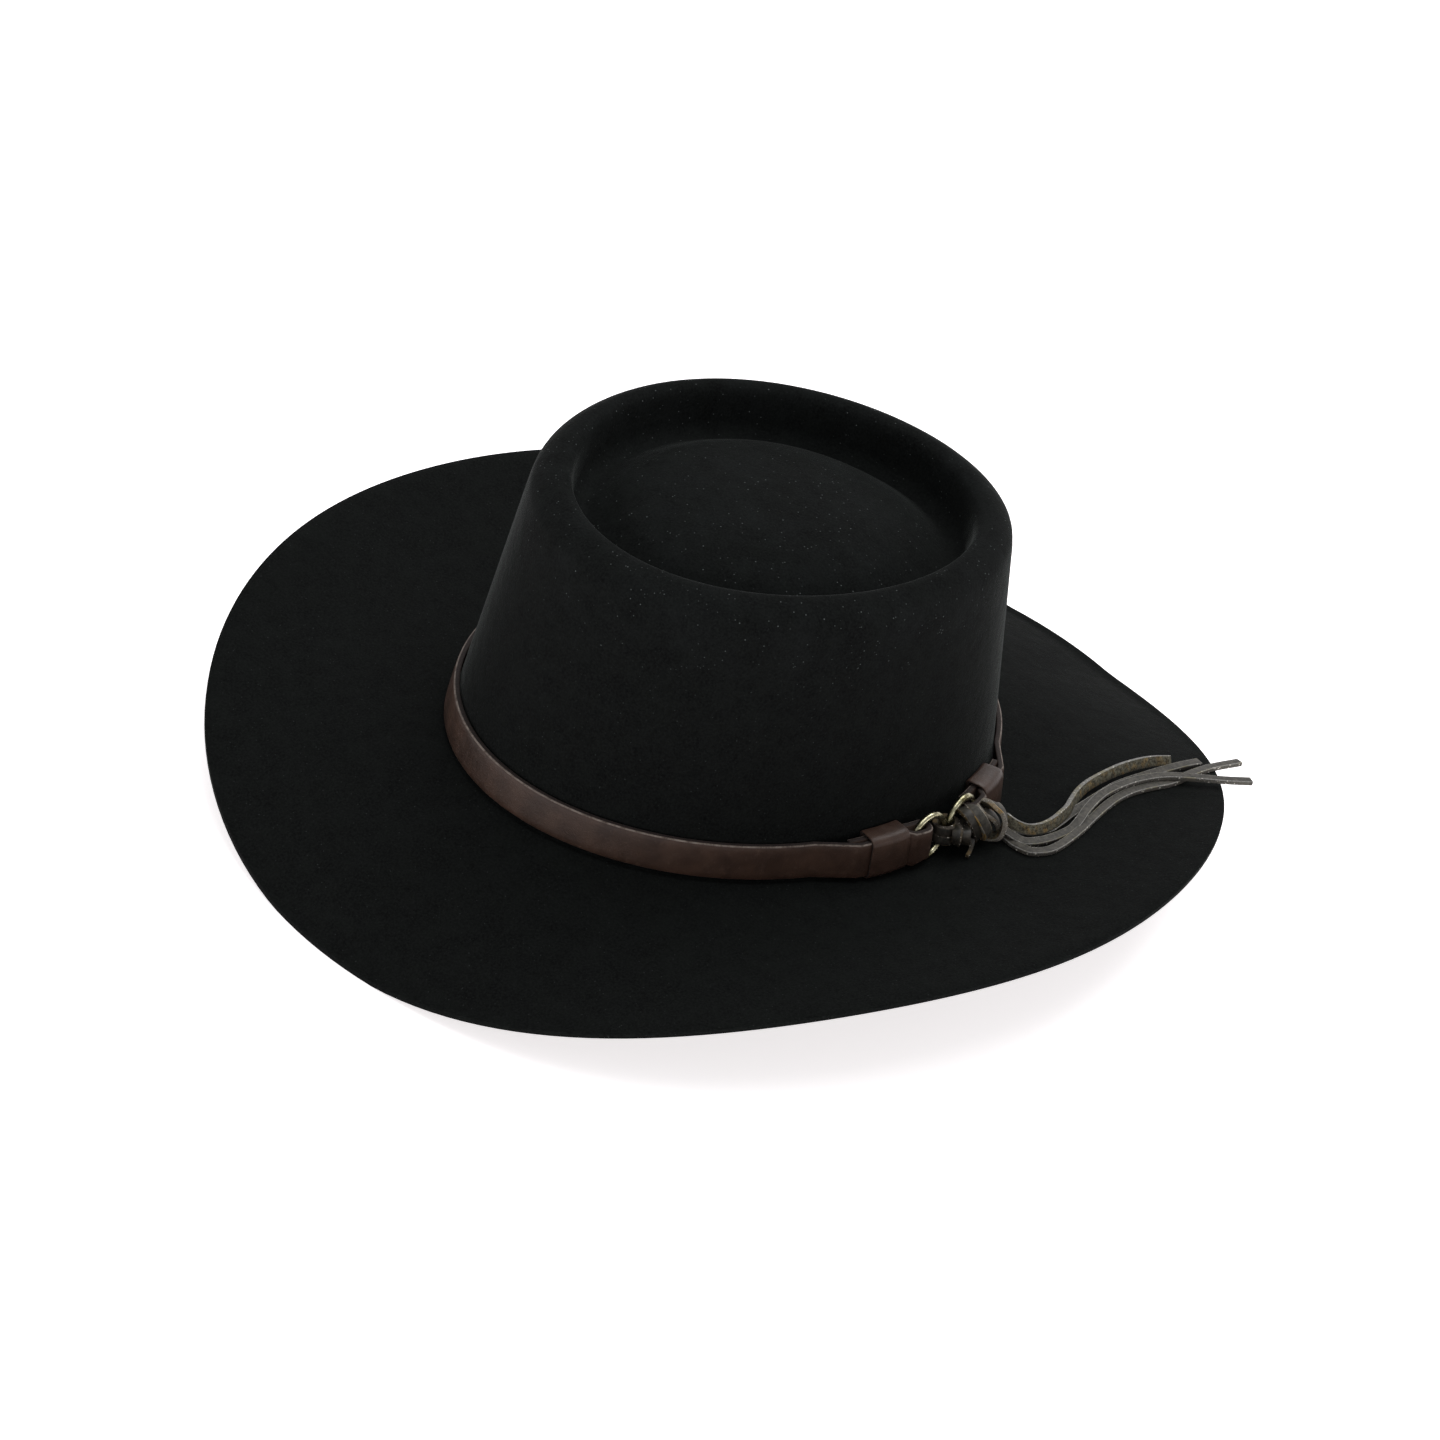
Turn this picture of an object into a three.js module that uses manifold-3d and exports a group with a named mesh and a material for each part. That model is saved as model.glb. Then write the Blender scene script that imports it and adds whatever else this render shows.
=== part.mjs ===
// A gambler hat of black fur felt with a leather band, two brass rings and a knotted lace.
//
// Millimetres, +Z up. The front of the hat faces -Y and the wearer's left is +X. The hat rests
// on z = 0 on the front and back dips of its brim. A turn is the angle round the crown, counted
// from the wearer's left towards the back.

import * as THREE from 'three';
import { mergeVertices } from 'three/addons/utils/BufferGeometryUtils.js';
import Module from 'manifold-3d';

const wasm = await Module();
wasm.setup();

// Head oval, where the crown meets the brim, measured on the outside of the felt
const FELT = 2.2;
const HEAD_HALF_WIDTH = 84;
const HEAD_HALF_LENGTH = 104;
const BREAK_HEIGHT = 23.7;
const BREAK_PITCH = -4.5;

// Crown: the walls lean in towards a smaller oval at the top
const CROWN_HEIGHT = 101;
const TOP_HALF_WIDTH = 74;
const TOP_HALF_LENGTH = 87;
const TOP_SHIFT_LEFT = 4.5;
const TOP_SHIFT_BACK = -5.5;
const TOP_PITCH = -3;
const TOP_SADDLE = 1.8;
const RIDGE_RADIUS = 9;
const RIDGE_CREST = 8.2;
const INNER_RIDGE_RADIUS = 4;
const PIT_SHIFT_LEFT = -1.2;
const PIT_SHIFT_BACK = 1.5;
const PIT_END_INSET = 3;
const PIT_FROM = 12;

// Brim: one width all round, with the height of its edge as a sum of waves round the head
const BRIM_WIDTH = 81.5;
const BRIM_CURL = 1.5;
const EDGE_MEAN = -1.2;
const EDGE_PITCH = -1.4;
const EDGE_SADDLE = 18;
const EDGE_TWIST = -1.4;
const EDGE_QUARTER = -3.6;
const LEVEL_FROM = 0.96;
const REST_EDGE = 0.94 * FELT;

// Shares of the brim width at which it has a ring, from the cut edge to the crown
const BRIM_SHARES = [1, 0.96, 0.88, 0.76, 0.62, 0.48, 0.34, 0.22, 0.12, 0.05, 0.012];

// Heights of the rings on the crown wall above the break
const WALL_HEIGHTS = [1.1, 8, 20, 45, 70];

// Crown top from the ridge inwards: inset from the wall, share of the oval kept, drop below the ridge
const TOP_ROWS = [
  { inset: 13, keep: 1, drop: 9 },
  { inset: 14.5, keep: 1, drop: 14.5 },
  { inset: 18, keep: 1, drop: 17 },
  { inset: 23, keep: 1, drop: 14.8 },
  { inset: 28, keep: 1, drop: 11.5 },
  { inset: 31.5, keep: 0.95, drop: 8.6 },
  { inset: 31.5, keep: 0.7, drop: 5.6 },
  { inset: 31.5, keep: 0.35, drop: 3.7 },
];
const CENTRE_DROP = 3.1;

const TURNS = 64;

// Band: a strap laid round the crown, with both ends folded round a ring and held by a keeper
const STRAP_WIDTH = 12.8;
const STRAP_THICK = 2;
const STRAP_FOOT = 2;
const STRAP_LIFT = 1.1;
const LIFT_REACH = 60;
const STRAP_TAPER = 1.6;
const TAPER_FROM = 20;
const TAPER_TO = 14;
const STRAP_OUT = 0.45;
const GAP = 0.3;
const RING_RADIUS = 7.8;
const RING_WIRE = 1.2;
const RING_HEIGHT = 9.5;
const FRONT_RING_AT = 6;
const BACK_RING_AT = 24.4;
const FOLD_ROOM = 0.4;
const FOLD_FROM_RING = 4;
const FOLD_STEP_FROM = 5.6;
const FOLD_STEP_TO = 7.6;
const RETURN_LENGTH = 30;
const STEP_LENGTH = 12;
const ROUND_STEPS = 58;
// Stations of the two layers, as distances back from the fold, and of the fold itself
const RETURN_BACKS = [RETURN_LENGTH, 25, 20, 15, 10, 5];
const FOLD_ANGLES = [-90, -60, -30, 0, 30, 60, 90];
const OVER_BACKS = [FOLD_STEP_TO, 12, 17, 22, 27];
const KEEPER_LENGTH = 15.5;
const KEEPER_FROM_FOLD = 7.8;
const KEEPER_ROOM = 0.9;
const KEEPER_THICK = 1;

// Lace: a flat leather thong, tied through both rings, with four ends that trail to the back
const LACE_WIDTH = 3.4;
const LACE_THICK = 1.7;
const TAIL_TUBE = 2;
const TAIL_SIDES = 8;
const TAIL_STEP = 6;

const rad = THREE.MathUtils.degToRad;

const feltBlack = new THREE.MeshStandardMaterial({ color: 0x101416, roughness: 0.95, metalness: 0 });
const strapBrown = new THREE.MeshStandardMaterial({ color: 0x33201d, roughness: 0.5, metalness: 0 });
const laceBrown = new THREE.MeshStandardMaterial({ color: 0x37322d, roughness: 0.7, metalness: 0 });
const oldBrass = new THREE.MeshStandardMaterial({ color: 0x8c815c, roughness: 0.35, metalness: 1 });

// Heights round the head
function breakHeight(turn) {
  return BREAK_HEIGHT + BREAK_PITCH * Math.sin(turn);
}

function edgeHeight(turn) {
  const wave = EDGE_MEAN + EDGE_PITCH * Math.sin(turn) + EDGE_SADDLE * Math.cos(2 * turn)
    + EDGE_TWIST * Math.sin(3 * turn) + EDGE_QUARTER * Math.cos(4 * turn);
  return Math.max(BREAK_HEIGHT + wave, REST_EDGE);
}

function topHeight(turn, fade) {
  const wave = TOP_PITCH * Math.sin(turn) * fade + TOP_SADDLE * Math.cos(2 * turn) * fade * fade;
  return BREAK_HEIGHT + CROWN_HEIGHT + wave;
}

// A point of the brim's upper side, at a share of the way from the crown to the cut edge, where
// the last few millimetres run level
function brimPoint(turn, share) {
  const foot = breakHeight(turn);
  const rise = edgeHeight(turn) - foot;
  const reach = (BRIM_WIDTH - (2 / 3) * rise * rise / BRIM_WIDTH) * share;
  const out = new THREE.Vector2(HEAD_HALF_LENGTH * Math.cos(turn), HEAD_HALF_WIDTH * Math.sin(turn));
  out.normalize();
  return new THREE.Vector3(
    HEAD_HALF_WIDTH * Math.cos(turn) + reach * out.x,
    HEAD_HALF_LENGTH * Math.sin(turn) + reach * out.y,
    foot + rise * Math.pow(Math.min(share / LEVEL_FROM, 1), BRIM_CURL),
  );
}

// A point of the crown wall, pushed out from the felt by a distance
function wallPoint(turn, height, off = 0) {
  const share = height / CROWN_HEIGHT;
  const width = THREE.MathUtils.lerp(HEAD_HALF_WIDTH, TOP_HALF_WIDTH, share) + off;
  const length = THREE.MathUtils.lerp(HEAD_HALF_LENGTH, TOP_HALF_LENGTH, share) + off;
  return new THREE.Vector3(
    TOP_SHIFT_LEFT * share + width * Math.cos(turn),
    TOP_SHIFT_BACK * share + length * Math.sin(turn),
    THREE.MathUtils.lerp(breakHeight(turn), topHeight(turn, 1), share),
  );
}

// A point of the crown top, inset from the wall and dropped below the ridge
function topPoint(turn, row) {
  const share = 1 - RIDGE_RADIUS / CROWN_HEIGHT;
  const pit = THREE.MathUtils.smoothstep(row.inset, 0, PIT_FROM);
  const width = THREE.MathUtils.lerp(HEAD_HALF_WIDTH, TOP_HALF_WIDTH, share) - row.inset;
  const length = THREE.MathUtils.lerp(HEAD_HALF_LENGTH, TOP_HALF_LENGTH, share) - row.inset
    - PIT_END_INSET * pit;
  return new THREE.Vector3(
    TOP_SHIFT_LEFT + PIT_SHIFT_LEFT * pit + width * row.keep * Math.cos(turn),
    TOP_SHIFT_BACK + PIT_SHIFT_BACK * pit + length * row.keep * Math.sin(turn),
    topHeight(turn, row.keep) - row.drop,
  );
}

function ridgeRows() {
  const rows = [0, 30, 60].map((angle) => ({
    inset: RIDGE_RADIUS * (1 - Math.cos(rad(angle))),
    keep: 1,
    drop: RIDGE_RADIUS * (1 - Math.sin(rad(angle))),
  }));
  for (const angle of [0, 40, 75]) {
    rows.push({
      inset: RIDGE_CREST + INNER_RIDGE_RADIUS * Math.sin(rad(angle)),
      keep: 1,
      drop: INNER_RIDGE_RADIUS * (1 - Math.cos(rad(angle))),
    });
  }
  return rows;
}

// The upper side of the felt as rings, from the cut edge of the brim to the middle of the crown top
function feltRings() {
  const turns = Array.from({ length: TURNS }, (_, k) => (k * 2 * Math.PI) / TURNS);
  const makers = [
    ...BRIM_SHARES.map((share) => (turn) => brimPoint(turn, share)),
    ...WALL_HEIGHTS.map((height) => (turn) => wallPoint(turn, height)),
    ...[...ridgeRows(), ...TOP_ROWS].map((row) => (turn) => topPoint(turn, row)),
  ];
  return makers.map((maker) => turns.map(maker));
}

// The felt wall: the upper side, and a lower side set in by the felt's thickness
function feltBody() {
  const upper = feltRings();
  const last = upper.length - 1;
  const lower = upper.map((ring, i) => ring.map((point, k) => {
    const along = ring[(k + 1) % TURNS].clone().sub(ring[(k + TURNS - 1) % TURNS]);
    const inward = upper[Math.min(i + 1, last)][k].clone().sub(upper[Math.max(i - 1, 0)][k]);
    const normal = along.cross(inward).normalize();
    const under = point.clone().addScaledVector(normal, -FELT);
    under.z = Math.max(under.z, 0);
    return under;
  }));
  const centre = topPoint(0, { inset: 0, keep: 0, drop: CENTRE_DROP });
  const points = [...upper.flat(), ...lower.flat(), centre, centre.clone().setZ(centre.z - FELT)];
  const base = upper.length * TURNS;
  const middle = 2 * base;
  const faces = [];
  const quad = (a, b, c, d) => faces.push(a, b, c, a, c, d);
  for (let k = 0; k < TURNS; k += 1) {
    const n = (k + 1) % TURNS;
    for (let i = 0; i < last; i += 1) {
      const a = i * TURNS;
      const b = a + TURNS;
      quad(a + k, a + n, b + n, b + k);
      quad(base + b + k, base + b + n, base + a + n, base + a + k);
    }
    const rim = last * TURNS;
    faces.push(rim + k, rim + n, middle);
    faces.push(base + rim + n, base + rim + k, middle + 1);
    quad(base + k, base + n, n, k);
  }
  return meshOf(points, faces);
}

function meshOf(points, faces) {
  const geometry = new THREE.BufferGeometry();
  geometry.setAttribute('position', new THREE.Float32BufferAttribute(points.flatMap((p) => p.toArray()), 3));
  geometry.setIndex(faces);
  geometry.computeVertexNormals();
  return geometry;
}

// Distance round the crown at the band's middle, as a turn: the head oval is walked in small steps
const STEPS = 720;
const ovalLengths = [0];
for (let k = 0; k < STEPS; k += 1) {
  const a = wallPoint((k * 2 * Math.PI) / STEPS, STRAP_WIDTH / 2).setZ(0);
  const b = wallPoint(((k + 1) * 2 * Math.PI) / STEPS, STRAP_WIDTH / 2).setZ(0);
  ovalLengths.push(ovalLengths[k] + a.distanceTo(b));
}
const OVAL = ovalLengths[STEPS];

function turnAt(distance) {
  const whole = Math.floor(distance / OVAL);
  const rest = distance - whole * OVAL;
  const k = Math.min(ovalLengths.findLastIndex((length) => length <= rest), STEPS - 1);
  const part = (rest - ovalLengths[k]) / (ovalLengths[k + 1] - ovalLengths[k]);
  return ((k + part) / STEPS + whole) * 2 * Math.PI;
}

// Bends a shape made in flat band space onto the crown: x runs round the crown, y stands out of
// the felt and z is the height above the break
function bandPoint(x, y, z) {
  const turn = turnAt(x);
  const out = new THREE.Vector2(HEAD_HALF_LENGTH * Math.cos(turn), HEAD_HALF_WIDTH * Math.sin(turn)).normalize();
  const point = wallPoint(turn, z);
  point.x += out.x * y;
  point.y += out.y * y;
  return point;
}

function ontoCrown(geometry, lift = () => 0) {
  const bent = geometry.getIndex() ? geometry : mergeVertices(geometry);
  const position = bent.getAttribute('position');
  for (let k = 0; k < position.count; k += 1) {
    const x = position.getX(k);
    const point = bandPoint(x, position.getY(k), position.getZ(k) + lift(x));
    position.setXYZ(k, point.x, point.y, point.z);
  }
  // Band space is left-handed, so each face is turned round
  bent.getIndex().array.reverse();
  bent.computeVertexNormals();
  return bent;
}

// Distance along the strap from the middle between the rings
function fromRings(x) {
  const far = Math.abs(x - (FRONT_RING_AT + BACK_RING_AT) / 2);
  return Math.min(far, OVAL - far);
}

// The strap narrows a little where it folds round a ring
function strapTaper(x) {
  return STRAP_TAPER * (1 - THREE.MathUtils.smoothstep(fromRings(x), TAPER_TO, TAPER_FROM));
}

// The height of the strap's lower edge: it rides up a little towards the rings
function strapFoot(x) {
  const lift = STRAP_LIFT * (1 - THREE.MathUtils.smoothstep(fromRings(x), 0, LIFT_REACH));
  return STRAP_FOOT + lift + strapTaper(x) / 2;
}

// The strap's leather, with square edges, following a line in band space
function strip(line) {
  const points = [];
  line.forEach((here, k) => {
    const before = line[Math.max(k - 1, 0)];
    const after = line[Math.min(k + 1, line.length - 1)];
    const side = after.clone().sub(before).normalize().rotateAround(new THREE.Vector2(), Math.PI / 2);
    for (const [across, up] of [[-1, 0], [1, 0], [1, 1], [-1, 1]]) {
      const corner = here.clone().addScaledVector(side, (across * STRAP_THICK) / 2);
      points.push(bandPoint(corner.x, corner.y, strapFoot(here.x) + up * (STRAP_WIDTH - strapTaper(here.x))));
    }
  });
  const faces = [];
  for (let k = 0; k < line.length - 1; k += 1) {
    for (let c = 0; c < 4; c += 1) {
      const d = (c + 1) % 4;
      faces.push(4 * k + c, 4 * k + 4 + d, 4 * k + d, 4 * k + c, 4 * k + 4 + c, 4 * k + 4 + d);
    }
  }
  const end = 4 * (line.length - 1);
  faces.push(0, 2, 3, 0, 1, 2, end, end + 2, end + 1, end, end + 3, end + 2);
  return meshOf(points, faces);
}

// Where the wire of a ring runs through the strap's fold, out from the felt
const FOLD_RADIUS = RING_WIRE + FOLD_ROOM + STRAP_THICK / 2;
const UNDER_LAYER_OUT = GAP + KEEPER_THICK + KEEPER_ROOM + STRAP_THICK / 2;
const OVER_LAYER_OUT = UNDER_LAYER_OUT + STRAP_THICK + KEEPER_ROOM;
const FOLD_OUT = UNDER_LAYER_OUT + FOLD_RADIUS;
const FRONT_FOLD = FRONT_RING_AT - FOLD_FROM_RING;
const BACK_FOLD = BACK_RING_AT + FOLD_FROM_RING;

// Half of the strap's line at one end: the return under the strap, the fold and the step back
// down to the felt. The sign says which way the fold points along the crown.
function foldLine(at, sign) {
  const line = [];
  for (const back of RETURN_BACKS) {
    line.push(new THREE.Vector2(at - sign * back, UNDER_LAYER_OUT));
  }
  for (const angle of FOLD_ANGLES) {
    const x = at + sign * FOLD_RADIUS * Math.cos(rad(angle));
    line.push(new THREE.Vector2(x, FOLD_OUT + FOLD_RADIUS * Math.sin(rad(angle))));
  }
  line.push(new THREE.Vector2(at - sign * FOLD_STEP_FROM, FOLD_OUT + FOLD_RADIUS));
  for (const back of OVER_BACKS) {
    line.push(new THREE.Vector2(at - sign * back, OVER_LAYER_OUT));
  }
  return line;
}

function bandStrap() {
  const front = foldLine(FRONT_FOLD, 1);
  const back = foldLine(BACK_FOLD - OVAL, -1).reverse();
  const from = FRONT_FOLD - RETURN_LENGTH - STEP_LENGTH;
  const to = BACK_FOLD - OVAL + RETURN_LENGTH + STEP_LENGTH;
  const round = Array.from({ length: ROUND_STEPS + 1 }, (_, k) => {
    const x = THREE.MathUtils.lerp(from, to, k / ROUND_STEPS);
    return new THREE.Vector2(x, STRAP_OUT + STRAP_THICK / 2);
  });
  return strip([...front, ...round, ...back]);
}

// A keeper: a leather loop round both layers of the strap, as an outline with a hole. Its heights
// are counted from the strap's lower edge.
function keeper(from) {
  const near = GAP + KEEPER_THICK;
  const far = OVER_LAYER_OUT + STRAP_THICK / 2 + GAP;
  const low = -GAP;
  const high = STRAP_WIDTH + GAP;
  const soft = KEEPER_THICK / 2;
  const outline = new THREE.Shape();
  outline.moveTo(GAP, low - soft);
  outline.lineTo(near, low - KEEPER_THICK);
  outline.lineTo(far, low - KEEPER_THICK);
  outline.lineTo(far + KEEPER_THICK, low - soft);
  outline.lineTo(far + KEEPER_THICK, high + soft);
  outline.lineTo(far, high + KEEPER_THICK);
  outline.lineTo(near, high + KEEPER_THICK);
  outline.lineTo(GAP, high + soft);
  outline.closePath();
  const bore = new THREE.Path();
  bore.moveTo(near, low);
  bore.lineTo(near, high);
  bore.lineTo(far, high);
  bore.lineTo(far, low);
  bore.closePath();
  outline.holes.push(bore);
  const loop = new THREE.ExtrudeGeometry(outline, { depth: KEEPER_LENGTH, steps: 4, bevelEnabled: false });
  // The outline is drawn with x standing out of the felt and y up, and is pushed along the crown
  loop.applyMatrix4(new THREE.Matrix4().set(0, 0, 1, from, 1, 0, 0, 0, 0, 1, 0, 0, 0, 0, 0, 1));
  return ontoCrown(loop, strapFoot);
}

// A round brass ring, flat against the crown, with one side between the layers of a fold
function ring(at) {
  const hoop = new THREE.TorusGeometry(RING_RADIUS, RING_WIRE, 6, 16);
  hoop.rotateX(Math.PI / 2);
  hoop.translate(at, FOLD_OUT, RING_HEIGHT);
  return ontoCrown(hoop);
}

// Joins overlapping closed shapes into one
function joined(shapes) {
  const solids = shapes.map((shape) => {
    const bare = shape.clone();
    bare.deleteAttribute('normal');
    bare.deleteAttribute('uv');
    const merged = mergeVertices(bare, 1e-4);
    const vertProperties = new Float32Array(merged.getAttribute('position').array);
    const triVerts = new Uint32Array(merged.getIndex().array);
    return new wasm.Manifold(new wasm.Mesh({ numProp: 3, vertProperties, triVerts }));
  });
  const whole = solids.reduce((sum, solid) => sum.add(solid)).getMesh();
  const geometry = new THREE.BufferGeometry();
  geometry.setAttribute('position', new THREE.BufferAttribute(whole.vertProperties, 3));
  geometry.setIndex(new THREE.BufferAttribute(whole.triVerts, 1));
  geometry.computeVertexNormals();
  return geometry;
}

// The turns of the lace in the knot, in band space: where each turn's middle is, its outer half
// length and half depth, and how it is tilted and swung. The first two lash the rings together.
const KNOT_TURNS = [
  { along: 15.2, out: 5.7, height: 6.4, long: 6.8, deep: 4.4, tilt: 0, swing: 0 },
  { along: 15.2, out: 5.7, height: 8.6, long: 5.8, deep: 4.4, tilt: 0, swing: 0 },
  { along: 20.6, out: 11.6, height: 9.4, long: 5.2, deep: 2.9, tilt: 58, swing: 8 },
  { along: 24.6, out: 12.8, height: 9, long: 5.4, deep: 2.9, tilt: 58, swing: 8 },
  { along: 29.3, out: 15, height: 9.4, long: 5.7, deep: 4.8, tilt: -52, swing: -18 },
];
const KNOT_LUMPS = [
  { along: 17.2, out: 10.6, height: 7.4, radius: 2.9 },
  { along: 20.8, out: 12, height: 7, radius: 2.9 },
  { along: 26.4, out: 13.6, height: 9.4, radius: 3.5 },
];

// The lace's short end, as a bar from the knot down to the brim
const STUB = { along: 17.4, out: 13.8, height: 4.3, radius: 1.2, length: 5, tilt: 38 };

function laceTurn({ along, out, height, long, deep, tilt, swing }) {
  const outline = new THREE.Shape();
  outline.absellipse(0, 0, long, deep, 0, 2 * Math.PI);
  const bore = new THREE.Path();
  bore.absellipse(0, 0, long - LACE_THICK, deep - LACE_THICK, 0, 2 * Math.PI);
  outline.holes.push(bore);
  const turn = new THREE.ExtrudeGeometry(outline, { depth: LACE_WIDTH, curveSegments: 7, bevelEnabled: false });
  turn.translate(0, 0, -LACE_WIDTH / 2);
  turn.rotateY(rad(tilt));
  turn.rotateZ(rad(swing));
  turn.translate(along, out, height);
  return turn;
}

function laceKnot() {
  const lumps = KNOT_LUMPS.map(({ along, out, height, radius }) => {
    return new THREE.SphereGeometry(radius, 9, 6).translate(along, out, height);
  });
  const stub = new THREE.CylinderGeometry(STUB.radius, STUB.radius, STUB.length, 8).rotateX(rad(90 + STUB.tilt));
  stub.translate(STUB.along, STUB.out, STUB.height);
  return ontoCrown(joined([...KNOT_TURNS.map(laceTurn), ...lumps, stub]));
}

// The four loose ends, as points over the brim: turn in degrees, distance out from the head oval,
// and the height of the lace's middle above the felt
const TAILS = {
  lace_tail_1: [
    { turn: 20.2, out: 16.3, lift: 7.4 },
    { turn: 20.2, out: 18.7, lift: 6.6 },
    { turn: 20.5, out: 21.2, lift: 5.6 },
    { turn: 21.1, out: 23.9, lift: 4.8 },
    { turn: 22.4, out: 25.8, lift: 4.1 },
    { turn: 24.1, out: 27.7, lift: 3.8 },
    { turn: 26, out: 29, lift: 3.8 },
    { turn: 28.5, out: 30, lift: 3.8 },
    { turn: 31.2, out: 30.8, lift: 3.8 },
    { turn: 34.7, out: 31, lift: 3.8 },
    { turn: 37.7, out: 31.9, lift: 3.8 },
    { turn: 40.4, out: 33.8, lift: 3.8 },
    { turn: 43.4, out: 37.4, lift: 3.8 },
    { turn: 48.3, out: 46, lift: 3.8 },
    { turn: 52, out: 56.4, lift: 3.4 },
    { turn: 53.5, out: 63.6, lift: 2.8 },
  ],
  lace_tail_2: [
    { turn: 22, out: 15.3, lift: 4.4 },
    { turn: 22.2, out: 18.1, lift: 2.8 },
    { turn: 22.2, out: 21.3, lift: 1.9 },
    { turn: 22.8, out: 24.2, lift: 1.4 },
    { turn: 24.1, out: 26.7, lift: 1.45 },
    { turn: 25.8, out: 28.6, lift: 1.45 },
    { turn: 28.4, out: 29.9, lift: 1.45 },
    { turn: 31.3, out: 31.3, lift: 1.45 },
    { turn: 33.3, out: 32.6, lift: 1.45 },
    { turn: 35.1, out: 34.2, lift: 1.45 },
    { turn: 37.8, out: 36.6, lift: 1.45 },
    { turn: 40.9, out: 39.8, lift: 1.45 },
    { turn: 44, out: 43.8, lift: 1.45 },
    { turn: 48.4, out: 53.3, lift: 1.45 },
    { turn: 53.3, out: 66.8, lift: 1.45 },
    { turn: 55.7, out: 75.7, lift: 1.4 },
  ],
  lace_tail_3: [
    { turn: 19.6, out: 17, lift: 1.6 },
    { turn: 18.7, out: 20.3, lift: 1.45 },
    { turn: 18, out: 23.3, lift: 1.45 },
    { turn: 17.7, out: 26.3, lift: 1.45 },
    { turn: 17.6, out: 29.4, lift: 1.45 },
    { turn: 18.4, out: 32, lift: 1.45 },
    { turn: 19.4, out: 33.9, lift: 1.45 },
    { turn: 21.2, out: 35.4, lift: 1.45 },
    { turn: 23.5, out: 36.4, lift: 1.45 },
    { turn: 28.3, out: 37.9, lift: 1.45 },
    { turn: 33.6, out: 39.8, lift: 1.45 },
    { turn: 39.1, out: 43.5, lift: 1.45 },
    { turn: 42.6, out: 48.2, lift: 1.45 },
    { turn: 45, out: 53.8, lift: 1.45 },
    { turn: 47.8, out: 62.4, lift: 1.45 },
    { turn: 52.1, out: 72, lift: 1.45 },
    { turn: 54.9, out: 80.4, lift: 1.45 },
    { turn: 57.2, out: 91.8, lift: 1.45 },
  ],
  lace_tail_4: [
    { turn: 18.7, out: 17.9, lift: 5.3 },
    { turn: 19, out: 20.5, lift: 4 },
    { turn: 19.3, out: 23.5, lift: 2.9 },
    { turn: 20.1, out: 26.6, lift: 2 },
    { turn: 21.6, out: 29.4, lift: 1.5 },
    { turn: 23.5, out: 31.7, lift: 1.4 },
    { turn: 25.7, out: 33.7, lift: 1.6 },
    { turn: 27.7, out: 35.2, lift: 2.3 },
    { turn: 29.8, out: 36, lift: 3.2 },
    { turn: 32.5, out: 36.4, lift: 3.8 },
    { turn: 35.7, out: 37.5, lift: 3.9 },
    { turn: 39.1, out: 39.7, lift: 3.9 },
    { turn: 42.6, out: 44.5, lift: 3.9 },
    { turn: 45.9, out: 51.8, lift: 3.9 },
    { turn: 48.2, out: 61.1, lift: 3.9 },
    { turn: 49.1, out: 72.5, lift: 3.9 },
    { turn: 49.7, out: 81.9, lift: 3.9 },
    { turn: 50.7, out: 91.5, lift: 3.8 },
  ],
};

function tailTube(rows) {
  const points = rows.map(({ turn, out, lift }) => {
    const point = brimPoint(rad(turn), out / BRIM_WIDTH);
    point.z += lift;
    return point;
  });
  const path = new THREE.CatmullRomCurve3(points, false, 'centripetal');
  const section = new THREE.Shape();
  section.absarc(0, 0, TAIL_TUBE / 2, 0, 2 * Math.PI, false);
  return new THREE.ExtrudeGeometry(section, {
    steps: Math.round(path.getLength() / TAIL_STEP),
    curveSegments: TAIL_SIDES / 2,
    bevelEnabled: false,
    extrudePath: path,
  });
}

const hat = new THREE.Group();

function add(name, geometry, material) {
  const mesh = new THREE.Mesh(geometry, material);
  mesh.name = name;
  hat.add(mesh);
  return mesh;
}

const felt = add('hat_body', feltBody(), feltBlack);
add('band_strap', bandStrap(), strapBrown);
add('keeper_front', keeper(FRONT_FOLD - KEEPER_FROM_FOLD - KEEPER_LENGTH), strapBrown);
add('keeper_back', keeper(BACK_FOLD + KEEPER_FROM_FOLD), strapBrown);
add('ring_front', ring(FRONT_RING_AT), oldBrass);
add('ring_back', ring(BACK_RING_AT), oldBrass);
add('lace_knot', laceKnot(), laceBrown);
for (const [name, rows] of Object.entries(TAILS)) {
  add(name, tailTube(rows), laceBrown);
}

// The origin is under the middle of the brim, on the surface that the hat rests on
felt.geometry.computeBoundingBox();
hat.position.y = -felt.geometry.boundingBox.getCenter(new THREE.Vector3()).y;

export default hat;
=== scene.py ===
# %% [markdown]
# A gambler hat. The real one is a single cone of fur felt, blocked over wood into a low telescope
# crown and a wide brim, with a leather strap, two brass rings and a knotted lace for a band. The
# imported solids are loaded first, as a fixed frame: each piece made here lies where its solid lies.

# %% The frame
import math

import bmesh
import bpy
from mathutils import Matrix, Vector, noise


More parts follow.
